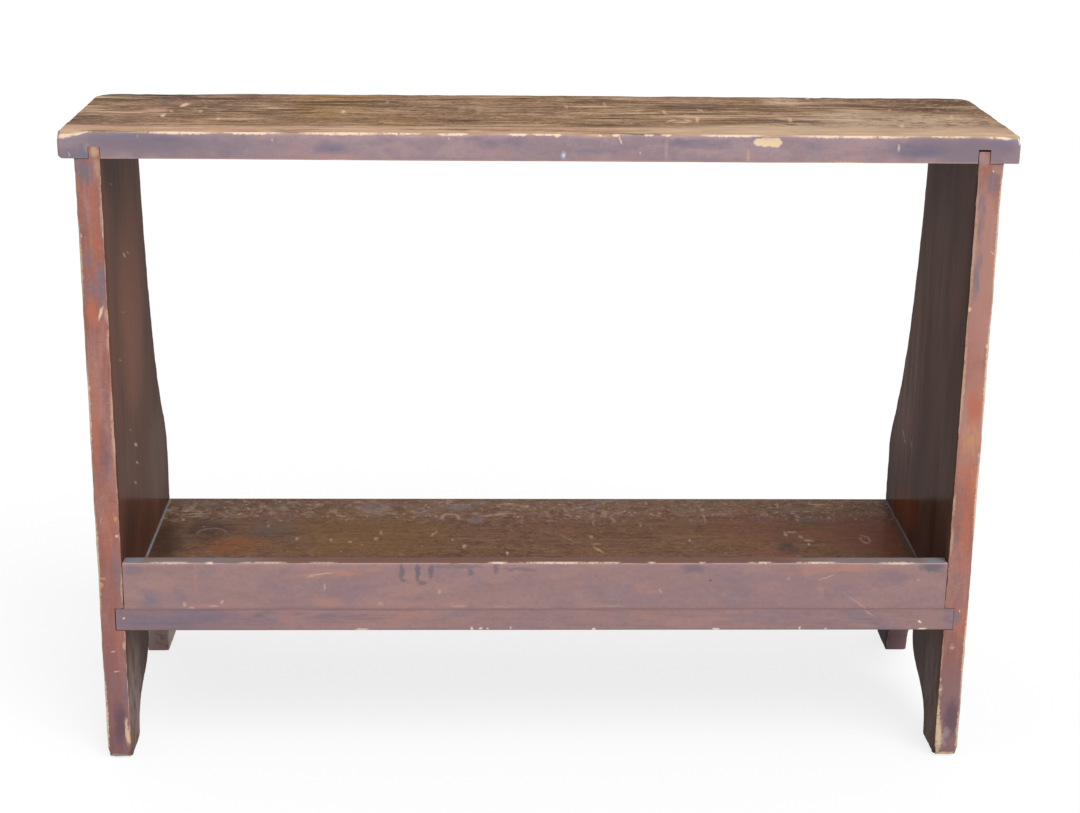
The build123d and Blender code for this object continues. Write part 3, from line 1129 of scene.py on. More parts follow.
@dataclass(frozen=True)
class EndEdgePine(EdgePine):
    """Edges of the end boards: red stain with orange, bare along the arrises; its mauve and blue
    are partly painted sky sheen.
    """

    name: str = "pine_edge_red_stain_and_painted_light"
    base: str = "#9f6a5e"
    coats: tuple[Coat, ...] = (
        coat("#ae8179", 0.6, Streaks(90, 16, 0.44, 0.62, seed=21, warp=0.6, grain=UP)),
        # Mauve streaks: partly stain, partly a painted reflection of the sky in the sheen.
        coat("#857078", 0.5, Streaks(70, 12, 0.52, 0.66, seed=22, warp=0.6, grain=UP)),
        coat("#a5604c", 0.5, Streaks(80, 12, 0.54, 0.68, seed=23, warp=0.6, grain=UP)),
        *mottled("#b98e80", "#7d5652", 6, 0.28, 94),
        coat("#7d5a52", 0.3, Streaks(50, 3, 0.5, 0.68, seed=24, grain=UP), relief=-0.08),
        coat("#b98a7d", 0.7, RIGHT_END, FRONT.zones((490, 590, 60, 330), (490, 420, 60, 200))),
        coat("#9c8c8c", 0.5, RIGHT_END, Band(Z, -50, 110, 60)),
        # Painted light: the front of the left back foot, shaded under the shelf, is painted pale,
        # with darker flecks in it.
        coat("#f6decb", 0.95, *BACK_FOOT, Band(X, -600, 0, 1),
            Streaks(30, 10, 0.16, 0.42, seed=79, warp=0.8, grain=UP)),
        coat("#8a6a5a", 0.6, *BACK_FOOT, Band(X, -600, 0, 1),
            Streaks(16, 9, 0.5, 0.62, seed=80, warp=0.8, grain=UP)),
        # Painted shade: the front of the right back foot is painted dark.
        coat("#574a49", 0.85, *BACK_FOOT, Band(X, 0, 600, 1)),
        coat("#8b5f58", 0.5, FRONT.zones((-490, 190, 50, 260), (488, 130, 50, 160, 0.8))),
        coat("#7d5c62", 0.65, Band(Z, -50, 120, 120)),
        coat("#b5705a", 0.8, FRONT.stains(
            (-495, 430, 14, 170), (-490, 545, 20, 56), (-484, 655, 18, 80, 0.7),
            (-482, 150, 16, 50, 0.9), (-488, 285, 20, 110, 0.6), (491, 440, 26, 80),
            (494, 165, 18, 100), (494, 325, 22, 190), (490, 262, 20, 90, 0.8)),
            Streaks(50, 12, 0.32, 0.58, seed=27, warp=0.8, grain=UP)),
        coat("#c4694f", 0.6, FRONT.stains(
            (-485, 616, 16, 44), (490, 438, 20, 50), (486, 350, 26, 100, 0.8),
            (497, 340, 12, 60, 0.7), (-482, 150, 8, 24, 0.7), (-494, 545, 10, 30)),
            Streaks(20, 5, 0.36, 0.62, seed=28, warp=0.8, grain=UP)),
        coat("#cf9167", 0.65, FRONT.stains(
            (489, 398, 30, 70), (497, 350, 14, 50, 0.7), (-481, 302, 9, 24, 0.5),
            (-478, 520, 8, 60, 0.5)), Streaks(30, 7, 0.36, 0.62, seed=29, warp=0.8, grain=UP)),
        # Blue-grey stains: partly stain, partly a painted reflection of the sky in the sheen.
        coat("#74727f", 0.85, FRONT.stains(
            (-491, 702, 30, 44), (-496, 716, 18, 30), (-480, 576, 18, 54), (-490, 572, 30, 40, 0.8),
            (-491, 592, 14, 80, 0.6), (-494, 605, 12, 28, 0.7), (-480, 224, 11, 100, 0.6),
            (-477, 95, 9, 90, 0.6), (-492, 98, 12, 50, 0.4), (482, 590, 13, 80, 0.9),
            (482, 655, 13, 90), (501, 650, 9, 60, 0.8), (490, 693, 18, 36, 0.9),
            (486, 215, 20, 60, 0.5), (488, 178, 14, 34, 0.8), (480, 280, 9, 50, 0.8),
            (494, 716, 10, 7, 1, -40)), Streaks(40, 10, 0.32, 0.58, seed=30, warp=0.8, grain=UP)),
        coat("#a58b8a", 0.8, FRONT.stains((480, 720, 16, 22), (496, 708, 16, 14, 0.8))),
        coat("#5f4c58", 0.75, FRONT.stains(
            (-487, 45, 22, 80), (492, 50, 24, 70), (-487, 385, 20, 80, 0.5),
            (-496, 25, 12, 40, 0.6), (-484, 30, 14, 40, 0.6))),
        coat("#cba68e", 0.8, FRONT.marks(
            (-475, 410, 8, 130), (-476, 542, 8, 24, 0.8), (-475, 510, 8, 34, 0.8),
            (-475, 215, 6, 50, 0.8), (-475, 655, 7, 70, 0.8), (-476, 145, 6, 16),
            (475, 470, 8, 160), (475, 620, 8, 190), (-480, 722, 11, 16), (-478, 704, 9, 26, 0.6),
            (476, 88, 8, 20, 0.8), (476, 275, 6, 46, 0.9), (476, 320, 5, 36, 0.8),
            (486, 143, 7, 12, 0.4), (475, 130, 5, 60, 0.6), core=0, ragged=CHIPPED),
            Streaks(9, 5, 0.24, 0.5, seed=34, grain=UP, detail=4)),
        coat("#edcbae", 0.85, FRONT.marks(
            (-482.6, 543, 21, 4.4, 1, 70), (-475.5, 631, 4, 9, 0.6), (-478, 281, 5, 5, 0.7),
            (-487, 113, 9, 2.4, 0.6, 14), (-490, 138, 8, 2.4, 0.6, 8), (-500, 457, 4, 9, 0.6),
            (-499, 630, 2, 6, 0.6), (477, 551, 4, 7, 0.9), (475.5, 430, 3, 6, 0.6),
            (499.5, 508, 4, 7, 0.9), (500, 380, 4, 6, 0.7), (501, 463, 3, 4, 0.6),
            (497.5, 615, 8, 2.2, 0.7, -40), (491, 706, 3, 4, 0.8), (487, 142, 9, 2.2, 0.4, 12),
            (492, 188, 3, 4, 0.7), (476, 88, 3, 5, 0.7), (476, 101, 3, 6, 0.7),
            (-495, 300, 12, 1.6, 0.3, 70), ragged=CHIPPED), roughness=0.6, relief=-0.2),
        coat("#dcbf9c", 0.9, FRONT.marks(
            (-478.5, 37, 6, 42), (-477, 30, 5, 30), (478, 26, 11, 56), (476, 50, 6, 70),
            (501, 34, 6, 76, 0.8), (488, 3, 36, 9), (477, 10, 10, 22), core=0.2,
            ragged=Ragged(1.4, 5)), Streaks(7, 5, 0.28, 0.5, seed=26, detail=4), roughness=0.6,
            relief=-0.2),
        coat("#d49674", 0.7, FRONT.marks(
            (-499, 221, 7, 9), (-496, 229, 9, 5, 0.9), (-478.5, 302, 5, 8), core=0.2,
            ragged=CHIPPED)),
        # Painted grey highlights low on the toes of the feet.
        coat("#b3aaa8", 0.65, FRONT.marks(
            (-489, 4, 30, 9), (488, 32, 11, 18, 0.6), (486, 22, 7, 26, 0.5), core=0.1,
            ragged=CLOUDED)),
        coat("#c99b80", 0.6, WornArris(2.6, 0.4, 12, 3), roughness=0.6),
        coat("#e2c19e", 0.85, NearArris(1.9),
            Streaks(14, 14, 0.47, 0.58, seed=77, grain=UP, detail=4), roughness=0.6),
        coat("#e6c8a6", 0.9, FRONT.marks(
            (501.8, 640, 6, 180, 0.9), (501.8, 480, 6, 200), (501.8, 330, 6, 140, 0.9),
            (501.8, 130, 6, 160, 0.8), (-501.8, 60, 6, 130), (-501.8, 250, 6, 160, 0.8),
            (-501.8, 430, 6, 150, 0.8), (-501.8, 600, 6, 120, 0.6), ragged=CHIPPED),
            Streaks(12, 8, 0.28, 0.44, seed=38, grain=UP, detail=4), roughness=0.6),
        coat(BARE, 0.8, WornArris(2.2, 0.54, 14, 4), roughness=0.6),
    )  # fmt: skip


def end_face_coats(red: str, *own: Coat) -> tuple[Coat, ...]:
    """The coats of one face of an end board.

    Args:
        red: the colour of the redder streaks.
        own: the coats of that face alone, which lie under its specks and its worn arrises.

    Returns:
        The coats.
    """
    return (
        coat(red, 0.4, Streaks(320, 90, 0.42, 0.66, seed=31, warp=0.6, grain=UP, detail=3)),
        coat("#43302a", 0.3, Streaks(160, 40, 0.5, 0.68, seed=32, warp=0.6, grain=UP)),
        coat("#35251f", 0.12, Rings(14, (-300, 40, 0), grain=UP)),
        coat("#35251f", 0.3, Streaks(80, 2.2, 0.5, 0.68, seed=33, grain=UP), relief=-0.1),
        *own,
        coat("#c79f86", 0.4, Specks(60, 1.4, 0.25, 2), relief=-0.2),
        coat(BARE, 0.75, WornArris(2.2, 0.5, 20, 3), roughness=0.6),
    )  # fmt: skip


@dataclass(frozen=True)
class EndFacePine(StainedPine):
    """Outer face of an end board: deep old stain under what is left of a varnish."""

    name: str = "pine_board_old_stain_7d5346"
    base: str = "#7d5346"
    coats: tuple[Coat, ...] = end_face_coats("#96604a")
    roughness: float = 0.9
    shine: float = 0.0
    varnish: float = 0.09
    varnish_roughness: float = 0.16


@dataclass(frozen=True)
class LeftInsidePine(EndFacePine):
    """Inner face of the left end board: dust on the shelf joint and knocks, with painted light and
    shade.
    """

    name: str = "pine_board_old_stain_6c4a3c"
    base: str = "#6c4a3c"
    coats: tuple[Coat, ...] = end_face_coats(
        "#83543e",
        coat("#976450", 0.75, LEFT_INSIDE.zones((-30, 520, 230, 380), (-10, 600, 90, 160, 0.6))),
        coat("#7d625a", 0.6, LEFT_INSIDE.zones(
            (100, 280, 200, 170), (60, 620, 60, 120, 0.4), (-110, 340, 120, 100, 0.4))),
        # Painted shade: darker just under the top, and just above the shelf, where the dark shelf
        # also shows in the varnish.
        coat("#4a3530", 0.6, LEFT_INSIDE.zones(
            (-110, 262, 170, 110), (-20, 225, 160, 80, 0.8), (-120, 690, 140, 60, 0.6))),
        # Painted light on the inner face of the left back foot, which lies in shade under the
        # shelf.
        coat("#eed8c8", 0.95, LEFT_INSIDE.zones((155, 4, 190, 150)),
            Streaks(60, 30, 0.16, 0.42, seed=78, warp=0.6, grain=UP)),
        coat("#a4928d", 0.8, LEFT_INSIDE.zones((-140, 60, 150, 220)),
            Streaks(40, 14, 0.3, 0.6, seed=35, warp=0.6, grain=UP)),
        coat("#e0c2a8", 0.7, LEFT_INSIDE.marks(
            (-66, 580, 30, 5, 1, -24), (-44, 578, 26, 4, 0.5, -20), (-52, 346, 30, 6, 1, -20),
            (-50, 323, 24, 5, 0.8, -24), (-68, 304, 24, 4, 0.7, -22), (-84, 375, 24, 3, 0.3, -22),
            (-126, 472, 24, 3, 0.4, -18), (-126, 675, 30, 3, 0.3, -14), (-95, 520, 34, 3, 0.2, -16),
            core=0.1, ragged=CHIPPED), relief=-0.2),
        coat("#989ba0", 0.7, Band(Z, 190.3, 193.7, 1.5),
            Streaks(30, 30, 0.3, 0.55, seed=36, detail=3), roughness=0.7),
    )  # fmt: skip


@dataclass(frozen=True)
class RightInsidePine(EndFacePine):
    """Inner face of the right end board: the left one's stain, painted darker as shade on this
    side.
    """

    name: str = "pine_board_old_stain_553a2f"
    # Painted shade: this base and the red streaks below are darker copies of the left inside's, for
    # the shade on this face.
    base: str = "#553a2f"
    coats: tuple[Coat, ...] = end_face_coats(
        "#6d4432",
        coat("#664c44", 0.6, Streaks(260, 60, 0.4, 0.6, seed=74, warp=0.6, grain=UP, detail=3)),
        coat("#7a4632", 0.75, RIGHT_INSIDE.zones(
            (60, 225, 220, 80, 1, -14), (90, 335, 130, 90, 0.8), (40, 480, 80, 160, 0.4),
            (-120, 560, 120, 120, 0.4))),
        # Painted shade: darker just under the top, and just above the shelf, where the dark shelf
        # also shows in the varnish.
        coat("#3d2a24", 0.5, RIGHT_INSIDE.zones(
            (-110, 262, 170, 110, 0.7), (-20, 690, 200, 70, 0.6))),
        coat("#7a6460", 0.8, RIGHT_INSIDE.zones((100, 400, 260, 420), (-40, 560, 240, 200, 0.5)),
            Streaks(160, 16, 0.36, 0.6, seed=39, warp=0.6, grain=UP)),
        coat("#7b6c6b", 0.7, RIGHT_INSIDE.zones((-140, 60, 150, 220)),
            Streaks(40, 14, 0.3, 0.6, seed=35, warp=0.6, grain=UP)),
        # Painted shade on the inner face of the right back foot.
        coat("#3c3231", 0.9, RIGHT_INSIDE.zones((155, 4, 190, 150))),
        coat("#d6b6a6", 0.7, RIGHT_INSIDE.marks(
            (100, 311, 20, 5, 0.7, 30), (88, 305, 16, 4, 0.6, -10), (53, 313, 6, 14, 0.6), core=0.1,
            ragged=CHIPPED), relief=-0.2),
        coat("#868b90", 0.7, Band(Z, 190.3, 193.7, 1.5),
            Streaks(30, 30, 0.3, 0.55, seed=37, detail=3), roughness=0.7),
    )  # fmt: skip


SHELF_BACK = Band(Y, 105, 190, 50)  # the back of the shelf


@dataclass(frozen=True)
class ShelfPine(StainedPine):
    """Shelf: brown varnish with ochre and orange in it, scratched white by buckets at the back."""

    name: str = "pine_shelf_scratched_varnish"
    base: str = "#74523d"
    roughness: float = 0.7
    shine: float = 0.05
    varnish: float = 0.12
    varnish_roughness: float = 0.2
    coats: tuple[Coat, ...] = (
        coat("#7c5639", 0.4, Streaks(160, 70, 0.45, 0.65, seed=41, warp=0.6, detail=3)),
        coat("#583c30", 0.4, Streaks(120, 40, 0.5, 0.68, seed=42, warp=0.6)),
        coat("#7b4c3a", 0.35, Streaks(120, 50, 0.52, 0.68, seed=40, detail=3)),
        *mottled("#8a684d", "#483026", 14, 0.6, 101),
        coat("#8d6c50", 0.45, Streaks(90, 9, 0.54, 0.66, seed=106, warp=0.5)),
        coat("#48322a", 0.4, Streaks(90, 9, 0.54, 0.66, seed=107, warp=0.5)),
        *mottled("#94725a", "#442e25", 6, 0.42, 103),
        coat("#80602f", 0.45, SHELF_FACE.zones(
            (-220, 60, 330, 240, 0.8), (-215, 50, 60, 40), (-250, 10, 90, 40),
            (150, 60, 340, 200, 0.4))),
        coat("#985527", 0.5, SHELF_FACE.zones(
            (-376, 14, 84, 84), (-345, 30, 60, 50, 0.5), (385, 40, 130, 110, 0.7),
            (262, 142, 80, 50), (445, 20, 50, 130, 0.5)),
            Streaks(40, 20, 0.32, 0.6, seed=50, warp=0.8)),
        coat("#875040", 0.6, SHELF_FACE.zones(
            (430, 90, 190, 300), (280, 90, 170, 200, 0.7), (300, -10, 90, 60, 0.7))),
        coat("#3a2822", 0.75, SHELF_FACE.zones(
            (-460, 20, 76, 260), (-410, 70, 90, 130, 0.8), (-330, 60, 110, 90, 0.4),
            (-410, -60, 100, 60, 0.6), (-78, -20, 120, 110, 0.3))),
        coat("#3f3436", 0.75, SHELF_FACE.stains((300, 155, 34, 30), (318, 4, 38, 56)),
            Streaks(16, 16, 0.2, 0.55, seed=69, detail=4)),
        coat("#37251d", 0.3, Streaks(70, 2.2, 0.5, 0.68, seed=43), relief=-0.08),
        coat("#8b6a52", 0.45, Band(Y, 128, 190, 40), Band(X, -260, 470, 80)),
        coat("#84706d", 0.5, SHELF_BACK, Streaks(26, 22, 0.46, 0.64, seed=44, warp=1.2),
            roughness=0.6),
        coat("#987f6d", 0.6, SHELF_BACK, Streaks(14, 12, 0.5, 0.64, seed=47, warp=1.2)),
        coat("#5f3c30", 0.6, SHELF_BACK, Streaks(18, 14, 0.5, 0.64, seed=46, warp=1.2)),
        coat("#b89a84", 0.75, SHELF_BACK, Streaks(9, 9, 0.56, 0.66, seed=45, warp=1.2)),
        coat("#65605f", 0.45, SHELF_FACE.stains(
            (-328, 78, 90, 110), (-300, 45, 80, 80, 0.7), (215, 172, 110, 34, 0.8),
            (-430, 165, 110, 50, 0.8), (130, 175, 160, 24, 0.5)),
            Streaks(24, 18, 0.34, 0.62, seed=53, warp=1)),
        coat("#87777b", 0.65, SHELF_FACE.marks(
            (-93, 150, 38, 34), (-65, 166, 30, 26, 0.8), (-70, 103, 28, 36, 0.8),
            (-206, 155, 44, 44, 0.7), (100, 177, 50, 18, 0.8), (80, 155, 16, 32, 0.9),
            ragged=Ragged(4, 14)), Streaks(9, 9, 0.2, 0.55, seed=55, detail=4)),
        coat("#b0937f", 0.75, SHELF_FACE.marks(
            (-438, 137, 56, 9, 0.8, -5), (-434, 126, 54, 8, 0.8, 3), (-430, 117, 36, 7, 0.8, 8),
            (-466, 140, 12, 12, 0.6), (-440, 155, 8, 26, 0.5), (-398, 118, 30, 8, 0.5, -20),
            (-350, 158, 14, 30, 0.7, 14), (-337, 132, 10, 32, 0.8, 8), (-322, 146, 16, 22, 0.7),
            (-312, 170, 28, 9, 0.7, -10), (-258, 135, 30, 6, 0.5, 62), (-278, 160, 12, 20, 0.5),
            (-100, 163, 34, 6, 0.8), (-28, 162, 44, 10, 0.7), (-45, 124, 66, 9, 0.9, 14),
            (-140, 98, 16, 8, 0.6), (50, 110, 66, 5, 0.5, -7), (30, 150, 22, 9, 0.5, 50),
            (22, 128, 9, 24, 0.5), (96, 128, 8, 40, 0.7), (105, 108, 8, 36, 0.7, 8),
            (-335, 82, 7, 12, 0.7), (-322, 102, 8, 14, 0.8), (112, 130, 12, 8, 0.5),
            (250, 128, 24, 8, 0.4), core=0.1, ragged=Ragged(3, 7)),
            Streaks(6, 8, 0.2, 0.55, seed=58, detail=4), roughness=0.65),
        coat("#968279", 0.75, Band(Y, 120, 156, 10), SHELF_FACE.marks(
            (-206, 156, 52, 60), core=0.72, ragged=Ragged(3, 9), hollow=0.35),
            Streaks(8, 10, 0.2, 0.5, seed=59, detail=4)),
        coat("#ab9080", 0.8, Band(Y, 106, 140, 8), SHELF_FACE.marks(
            (-104, 110, 30, 44), (-145, 142, 22, 34, 0.6), core=0.74, ragged=Ragged(2.4, 8),
            hollow=0.45), Streaks(8, 10, 0.2, 0.5, seed=60, detail=4)),
        coat("#80685b", 0.7, Band(Y, 56, 100, 14), SHELF_FACE.marks(
            (-404, 56, 44, 44), core=0.8, ragged=Ragged(1.4, 9), hollow=0.6)),
        coat("#a98577", 0.8, SHELF_FACE.marks(
            (421, 36, 16, 36), core=0.62, ragged=Ragged(2, 5), hollow=0.3),
            Streaks(8, 14, 0.26, 0.5, seed=63, detail=4)),
        coat("#ccae96", 0.7, SHELF_FACE.marks(
            (45, 38, 38, 3, 0.4, -52), (82, 0, 30, 6, 0.6, -62), (225, 112, 4, 44, 0.5),
            (322, 55, 5, 24, 0.7), (331, 62, 18, 10, 0.5), (340, 45, 6, 18, 0.6),
            (348, 33, 16, 11, 0.6), (347, 20, 4, 12), (380, 163, 42, 8, 0.8, -6),
            (425, 175, 62, 3, 0.6), (392, 150, 11, 7, 0.6), (412, 158, 6, 12, 0.5),
            (345, 105, 5, 16, 0.4), (387, 113, 5, 12, 0.5), (-124, 56, 26, 5, 0.6, 70),
            (-85, 12, 7, 18, 0.7), (-228, 27, 7, 8, 0.8), (-196, 38, 8, 12, 0.6),
            (-295, 38, 7, 14, 0.6), (-252, 34, 5, 14, 0.5), (-191, 60, 5, 20, 0.5),
            (-100, 34, 4, 14, 0.5), (75, 45, 7, 16, 0.5), (80, 20, 18, 10, 0.3),
            (198, 33, 5, 16, 0.5), (80, 95, 4, 24, 0.4), (140, 85, 4, 20, 0.4),
            (-32, -10, 4, 14, 0.9), (-446, 105, 7, 12, 0.6), (-444, 145, 20, 14, 0.4), core=0,
            ragged=Ragged(1.4, 5)), roughness=0.6, relief=-0.15),
        coat("#c2a68e", 0.6, Specks(20, 1.6, 0.4, 3), roughness=0.5, relief=-0.15),
        coat("#96999f", 0.7, Band(X, -476.5, -472, 2),
            Streaks(60, 40, 0.2, 0.45, seed=48, detail=3), roughness=0.7),
        coat("#8a8f96", 0.6, Band(X, 472.8, 476.5, 1.5),
            Streaks(60, 40, 0.25, 0.5, seed=49, detail=3), roughness=0.7),
        coat("#54494a", 0.35, Band(X, 464, 473, 5)),
    )  # fmt: skip


RAIL_UPPER = Band(Z, 247.6, 252, 1)  # the rail's upper face


@dataclass(frozen=True)
class RailPine(EdgePine):
    """Rail: brown stain with salmon rubs and blue-grey drips from its upper arris, and painted sky
    sheen: partly in its mauve, wholly at the ends of its upper face.
    """

    name: str = "pine_rail_stain_and_painted_sheen"
    # The mauve base and the mauve and blue-grey coats below are partly stain, partly a painted
    # reflection of the sky in the sheen.
    base: str = "#987b7b"
    coats: tuple[Coat, ...] = (
        coat("#a8857f", 0.5, Streaks(90, 40, 0.44, 0.62, seed=51, warp=0.6)),
        coat("#857783", 0.4, Streaks(70, 30, 0.52, 0.68, seed=52, warp=0.6)),
        coat("#8c6d69", 0.3, Streaks(50, 8, 0.52, 0.68, seed=54)),
        *mottled("#ac8e88", "#826a6e", 8, 0.26, 111),
        coat("#bb8676", 0.6, FRONT.stains(
            (325, 241, 200, 22), (-230, 236, 150, 12, 1, 4), (-240, 199, 56, 24, 0.9),
            (-150, 215, 56, 22, 0.8), (130, 216, 56, 26, 0.8), (24, 216, 40, 18, 0.6),
            (-390, 220, 8, 70, 0.7), (-375, 194, 80, 10, 0.8), (328, 214, 11, 34, 0.8, 10),
            (350, 222, 60, 7, 0.7, 14), (255, 215, 50, 26, 0.5), (-120, 200, 200, 14, 0.5),
            (-430, 225, 60, 30, 0.4), (-60, 210, 100, 30, 0.3)),
            Streaks(50, 12, 0.36, 0.62, seed=65, warp=0.8)),
        coat("#767080", 0.6, FRONT.stains(
            (-445, 203, 28, 36), (-410, 210, 22, 32, 0.8), (-462, 241, 28, 22),
            (-380, 240, 40, 18, 0.7), (-220, 212, 80, 44, 0.5), (228, 215, 60, 60, 0.8),
            (350, 212, 60, 34, 0.7), (410, 228, 60, 34, 0.8), (100, 205, 140, 26, 0.4),
            (-20, 225, 60, 30, 0.3)), Streaks(40, 14, 0.36, 0.62, seed=66, warp=0.8)),
        coat("#645f6c", 0.75, FRONT.marks(
            (-156, 238, 9, 32, 0.9), (-154, 227, 10, 8, 0.8), (-137, 237, 9, 34),
            (-132, 224, 12, 7, 0.8), (-122, 238, 8, 26, 0.9), (-85, 244, 60, 9, 0.6),
            (-77, 238, 9, 14, 0.8), (-47, 241, 9, 18, 0.8), (-20, 241, 56, 6, 0.6),
            (180, 242, 36, 14, 0.6), (456, 244, 36, 20), (-110, 244, 24, 7, 0.5), core=0,
            ragged=Ragged(2, 7))),
        coat("#dcb3a2", 0.65, FRONT.marks(
            (-247, 235, 36, 3, 0.8, 6), (-258, 233, 14, 4, 0.6, 20), (-244, 218, 2.4, 14, 0.8, 4),
            (-405, 197, 5, 9, 0.7), (-397, 193, 12, 4, 0.7), (-371, 195, 16, 4, 0.6),
            (-362, 200, 5, 5, 0.7), (-112, 213, 6, 7, 0.6), (142, 214, 5, 8, 0.5, 30),
            (290, 229, 5, 5, 0.4), (441, 228, 4, 4, 0.6), (335, 231, 26, 2, 0.7, 22),
            (373, 198, 62, 1.8, 0.5, -36), (455, 238, 4, 3, 0.3), (-40, 194, 40, 3, 0.3),
            (85, 195, 50, 3, 0.3), (-90, 195, 26, 4, 0.4), (-180, 198, 10, 7, 0.4), core=0,
            ragged=Ragged(1.2, 5))),
        coat("#6d3c37", 0.6, FRONT.marks((200, 227, 6, 4), (208, 233, 5, 2, 0.6, 30))),
        coat("#6e4c3e", 0.85, RAIL_UPPER, roughness=0.6),
        # Painted sheen: blue-grey reflections of the sky at both ends of the rail's upper face.
        coat("#85797c", 0.8, RAIL_UPPER, RAIL_TOP.zones(
            (-400, -175, 260, 60), (390, -175, 260, 60))),
        coat("#7d8694", 0.65, RAIL_UPPER, RAIL_TOP.stains(
            (-464, -175, 34, 50), (460, -175, 40, 50))),
        coat("#cba696", 0.75, Band(Y, -190, -182.2, 1.5), NearArris(2.2),
            Streaks(40, 60, 0.32, 0.48, seed=56, detail=3), roughness=0.6),
        coat("#ecd3bd", 0.8, FRONT.marks(
            (-375, 248, 12, 3.6), (-312, 248.5, 70, 2.2, 0.7), (-45, 248.5, 26, 3.6),
            (32, 248.5, 130, 2.8), (132, 248.5, 12, 3, 0.8), (190, 248.5, 10, 3, 0.8),
            (258, 248.5, 36, 2.8), (322, 248.5, 60, 2.6), (416, 247.5, 50, 3, 0.8),
            (-420, 248, 60, 2.4, 0.7), (-245, 248.5, 40, 2.2, 0.5), (85, 248.5, 30, 2.4, 0.8),
            core=0.2, ragged=CHIPPED), Streaks(8, 60, 0.28, 0.5, seed=57, detail=4), roughness=0.6),
    )  # fmt: skip


@dataclass(frozen=True)
class ShelfEdgePine(EdgePine):
    """Front edge of the shelf: the rail's stain, darker, with bare chips on its lower arris; its
    mauve and blue are partly painted sky sheen.
    """

    name: str = "pine_shelf_edge_stain_and_painted_sheen"
    base: str = "#9a7b7a"
    coats: tuple[Coat, ...] = (
        coat("#a5817c", 0.55, Streaks(90, 24, 0.44, 0.62, seed=61, warp=0.6)),
        # Mauve and blue-grey coats: partly stain, partly a painted reflection of the sky in the
        # sheen.
        coat("#7f7480", 0.5, Streaks(80, 20, 0.5, 0.66, seed=62, warp=0.6)),
        *mottled("#ab8a84", "#7c6469", 8, 0.26, 114),
        coat("#775a58", 0.3, Streaks(60, 4, 0.5, 0.68, seed=64), relief=-0.06),
        coat("#76687a", 0.5, FRONT.zones((-430, 178, 300, 60))),
        coat("#6b6876", 0.7, FRONT.stains(
            (-315, 182, 44, 30), (-230, 182, 140, 14, 0.8), (380, 178, 150, 36, 0.8),
            (-420, 174, 140, 20, 0.6), (480, 178, 26, 34, 0.7), (280, 176, 100, 26, 0.5)),
            Streaks(50, 10, 0.36, 0.62, seed=67, warp=0.8)),
        coat("#b37f72", 0.6, FRONT.stains(
            (-155, 181, 100, 18, 0.9), (-450, 185, 80, 13, 0.6), (-290, 183, 30, 28, 0.6),
            (130, 184, 70, 18, 0.5), (70, 178, 80, 14, 0.5), (-360, 168, 60, 6, 0.6)),
            Streaks(50, 10, 0.36, 0.62, seed=68, warp=0.8)),
        coat("#d3ac9f", 0.5, FRONT.marks((386, 186, 20, 1.8, 1, -34), core=0, ragged=CHIPPED)),
        coat("#7a6066", 0.35, Band(Z, 189.4, 192, 1.5)),
        coat("#f0dcc4", 0.9, FRONT.marks(
            (446, 175, 7, 4, 0.9, -30), (450, 166, 14, 4, 0.9), (-202, 166, 20, 3, 0.8),
            (-75, 167, 4, 5, 0.9), (-65, 167, 5, 5, 0.8), (-57, 167, 4, 4, 0.7),
            (-30, 168, 3, 4, 0.6), (66, 166, 6, 4), (208, 166, 12, 4), (306, 167, 4, 5, 0.8),
            (336, 166, 5, 3, 0.7), (-475, 180, 4, 3, 0.7), ragged=CHIPPED), roughness=0.6),
        coat("#cdaa98", 0.7, WornArris(1.8, 0.4, 16, 7), roughness=0.6),
    )  # fmt: skip


@dataclass(frozen=True)
class UndersidePine(StainedPine):
    """Undersides and backs: thin old stain on sawn pine, dry and dark."""

    name: str = "pine_underside_dry_stain_along_bench"
    base: str = "#5f4438"
    coats: tuple[Coat, ...] = (
        coat("#7a5a46", 0.6, Streaks(420, 50, 0.42, 0.66, seed=71, detail=3)),
        coat("#48342b", 0.6, Streaks(300, 22, 0.48, 0.64, seed=72, detail=3)),
        coat("#33241f", 0.5, Streaks(90, 2.4, 0.46, 0.64, seed=73, detail=3), relief=-0.15),
        coat("#b28a6c", 0.7, WornArris(2, 0.46, 20, 8)),
    )  # fmt: skip
    roughness: float = 0.8
    shine: float = 0.1


# ---------------------------------------------------------------------------------------------
# The bench
# ---------------------------------------------------------------------------------------------


@dataclass
class BenchSizes:
    """Sizes and places that the boards share, in millimetres."""

    front: float = -185.0
    back: float = 185.0
    depth: float = 370.0
    height: float = 744.0
    top_underside: float = 714.0
    end_inner: float = 474.1
    end_outer: float = 502.5
    shelf_top: float = 191.5
    shelf_underside: float = 164.5
    rail_nails: float = 9.75  # from the front to the middle of the nails in the rail
    nail_head: tuple[float, float] = (2.8, 3.9)  # half width and half length of a nail's hole


@dataclass
class Board:
    """What every board needs to be finished and handed in."""

    sizes: BenchSizes

    def hand_in(
        self,
        piece: Piece,
        finishes: Sequence[tuple[bpy.types.Material, Callable[[Vector], bool] | None]],
        node: str,
        slot: str,
    ) -> None:
        """Shade a worn piece, give it its finishes and let it stand for its plain solid.

        Args:
            piece: the piece.
            finishes: materials, each with a rule on the normal of the faces that get it, or
                None for the first, which every other face gets.
            node: the CAD node that the piece replaces.
            slot: the name meant for its material slot; not used.
        """
        pick_up(piece)
        bpy.ops.object.shade_smooth_by_angle(angle=SMOOTH)
        piece.data.materials.clear()
        for material, _ in finishes:
            piece.data.materials.append(material)
        start_edit(piece)
        for index, (_, rule) in enumerate(finishes):
            choose(piece, "FACE", lambda face: rule is None or rule(face.normal))
            piece.active_material_index = index
            bpy.ops.object.material_slot_assign()
        let_go()
        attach(piece, "root")
        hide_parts(node)
        log.info("%s: %d faces for %s", piece.name, len(piece.data.polygons), node)


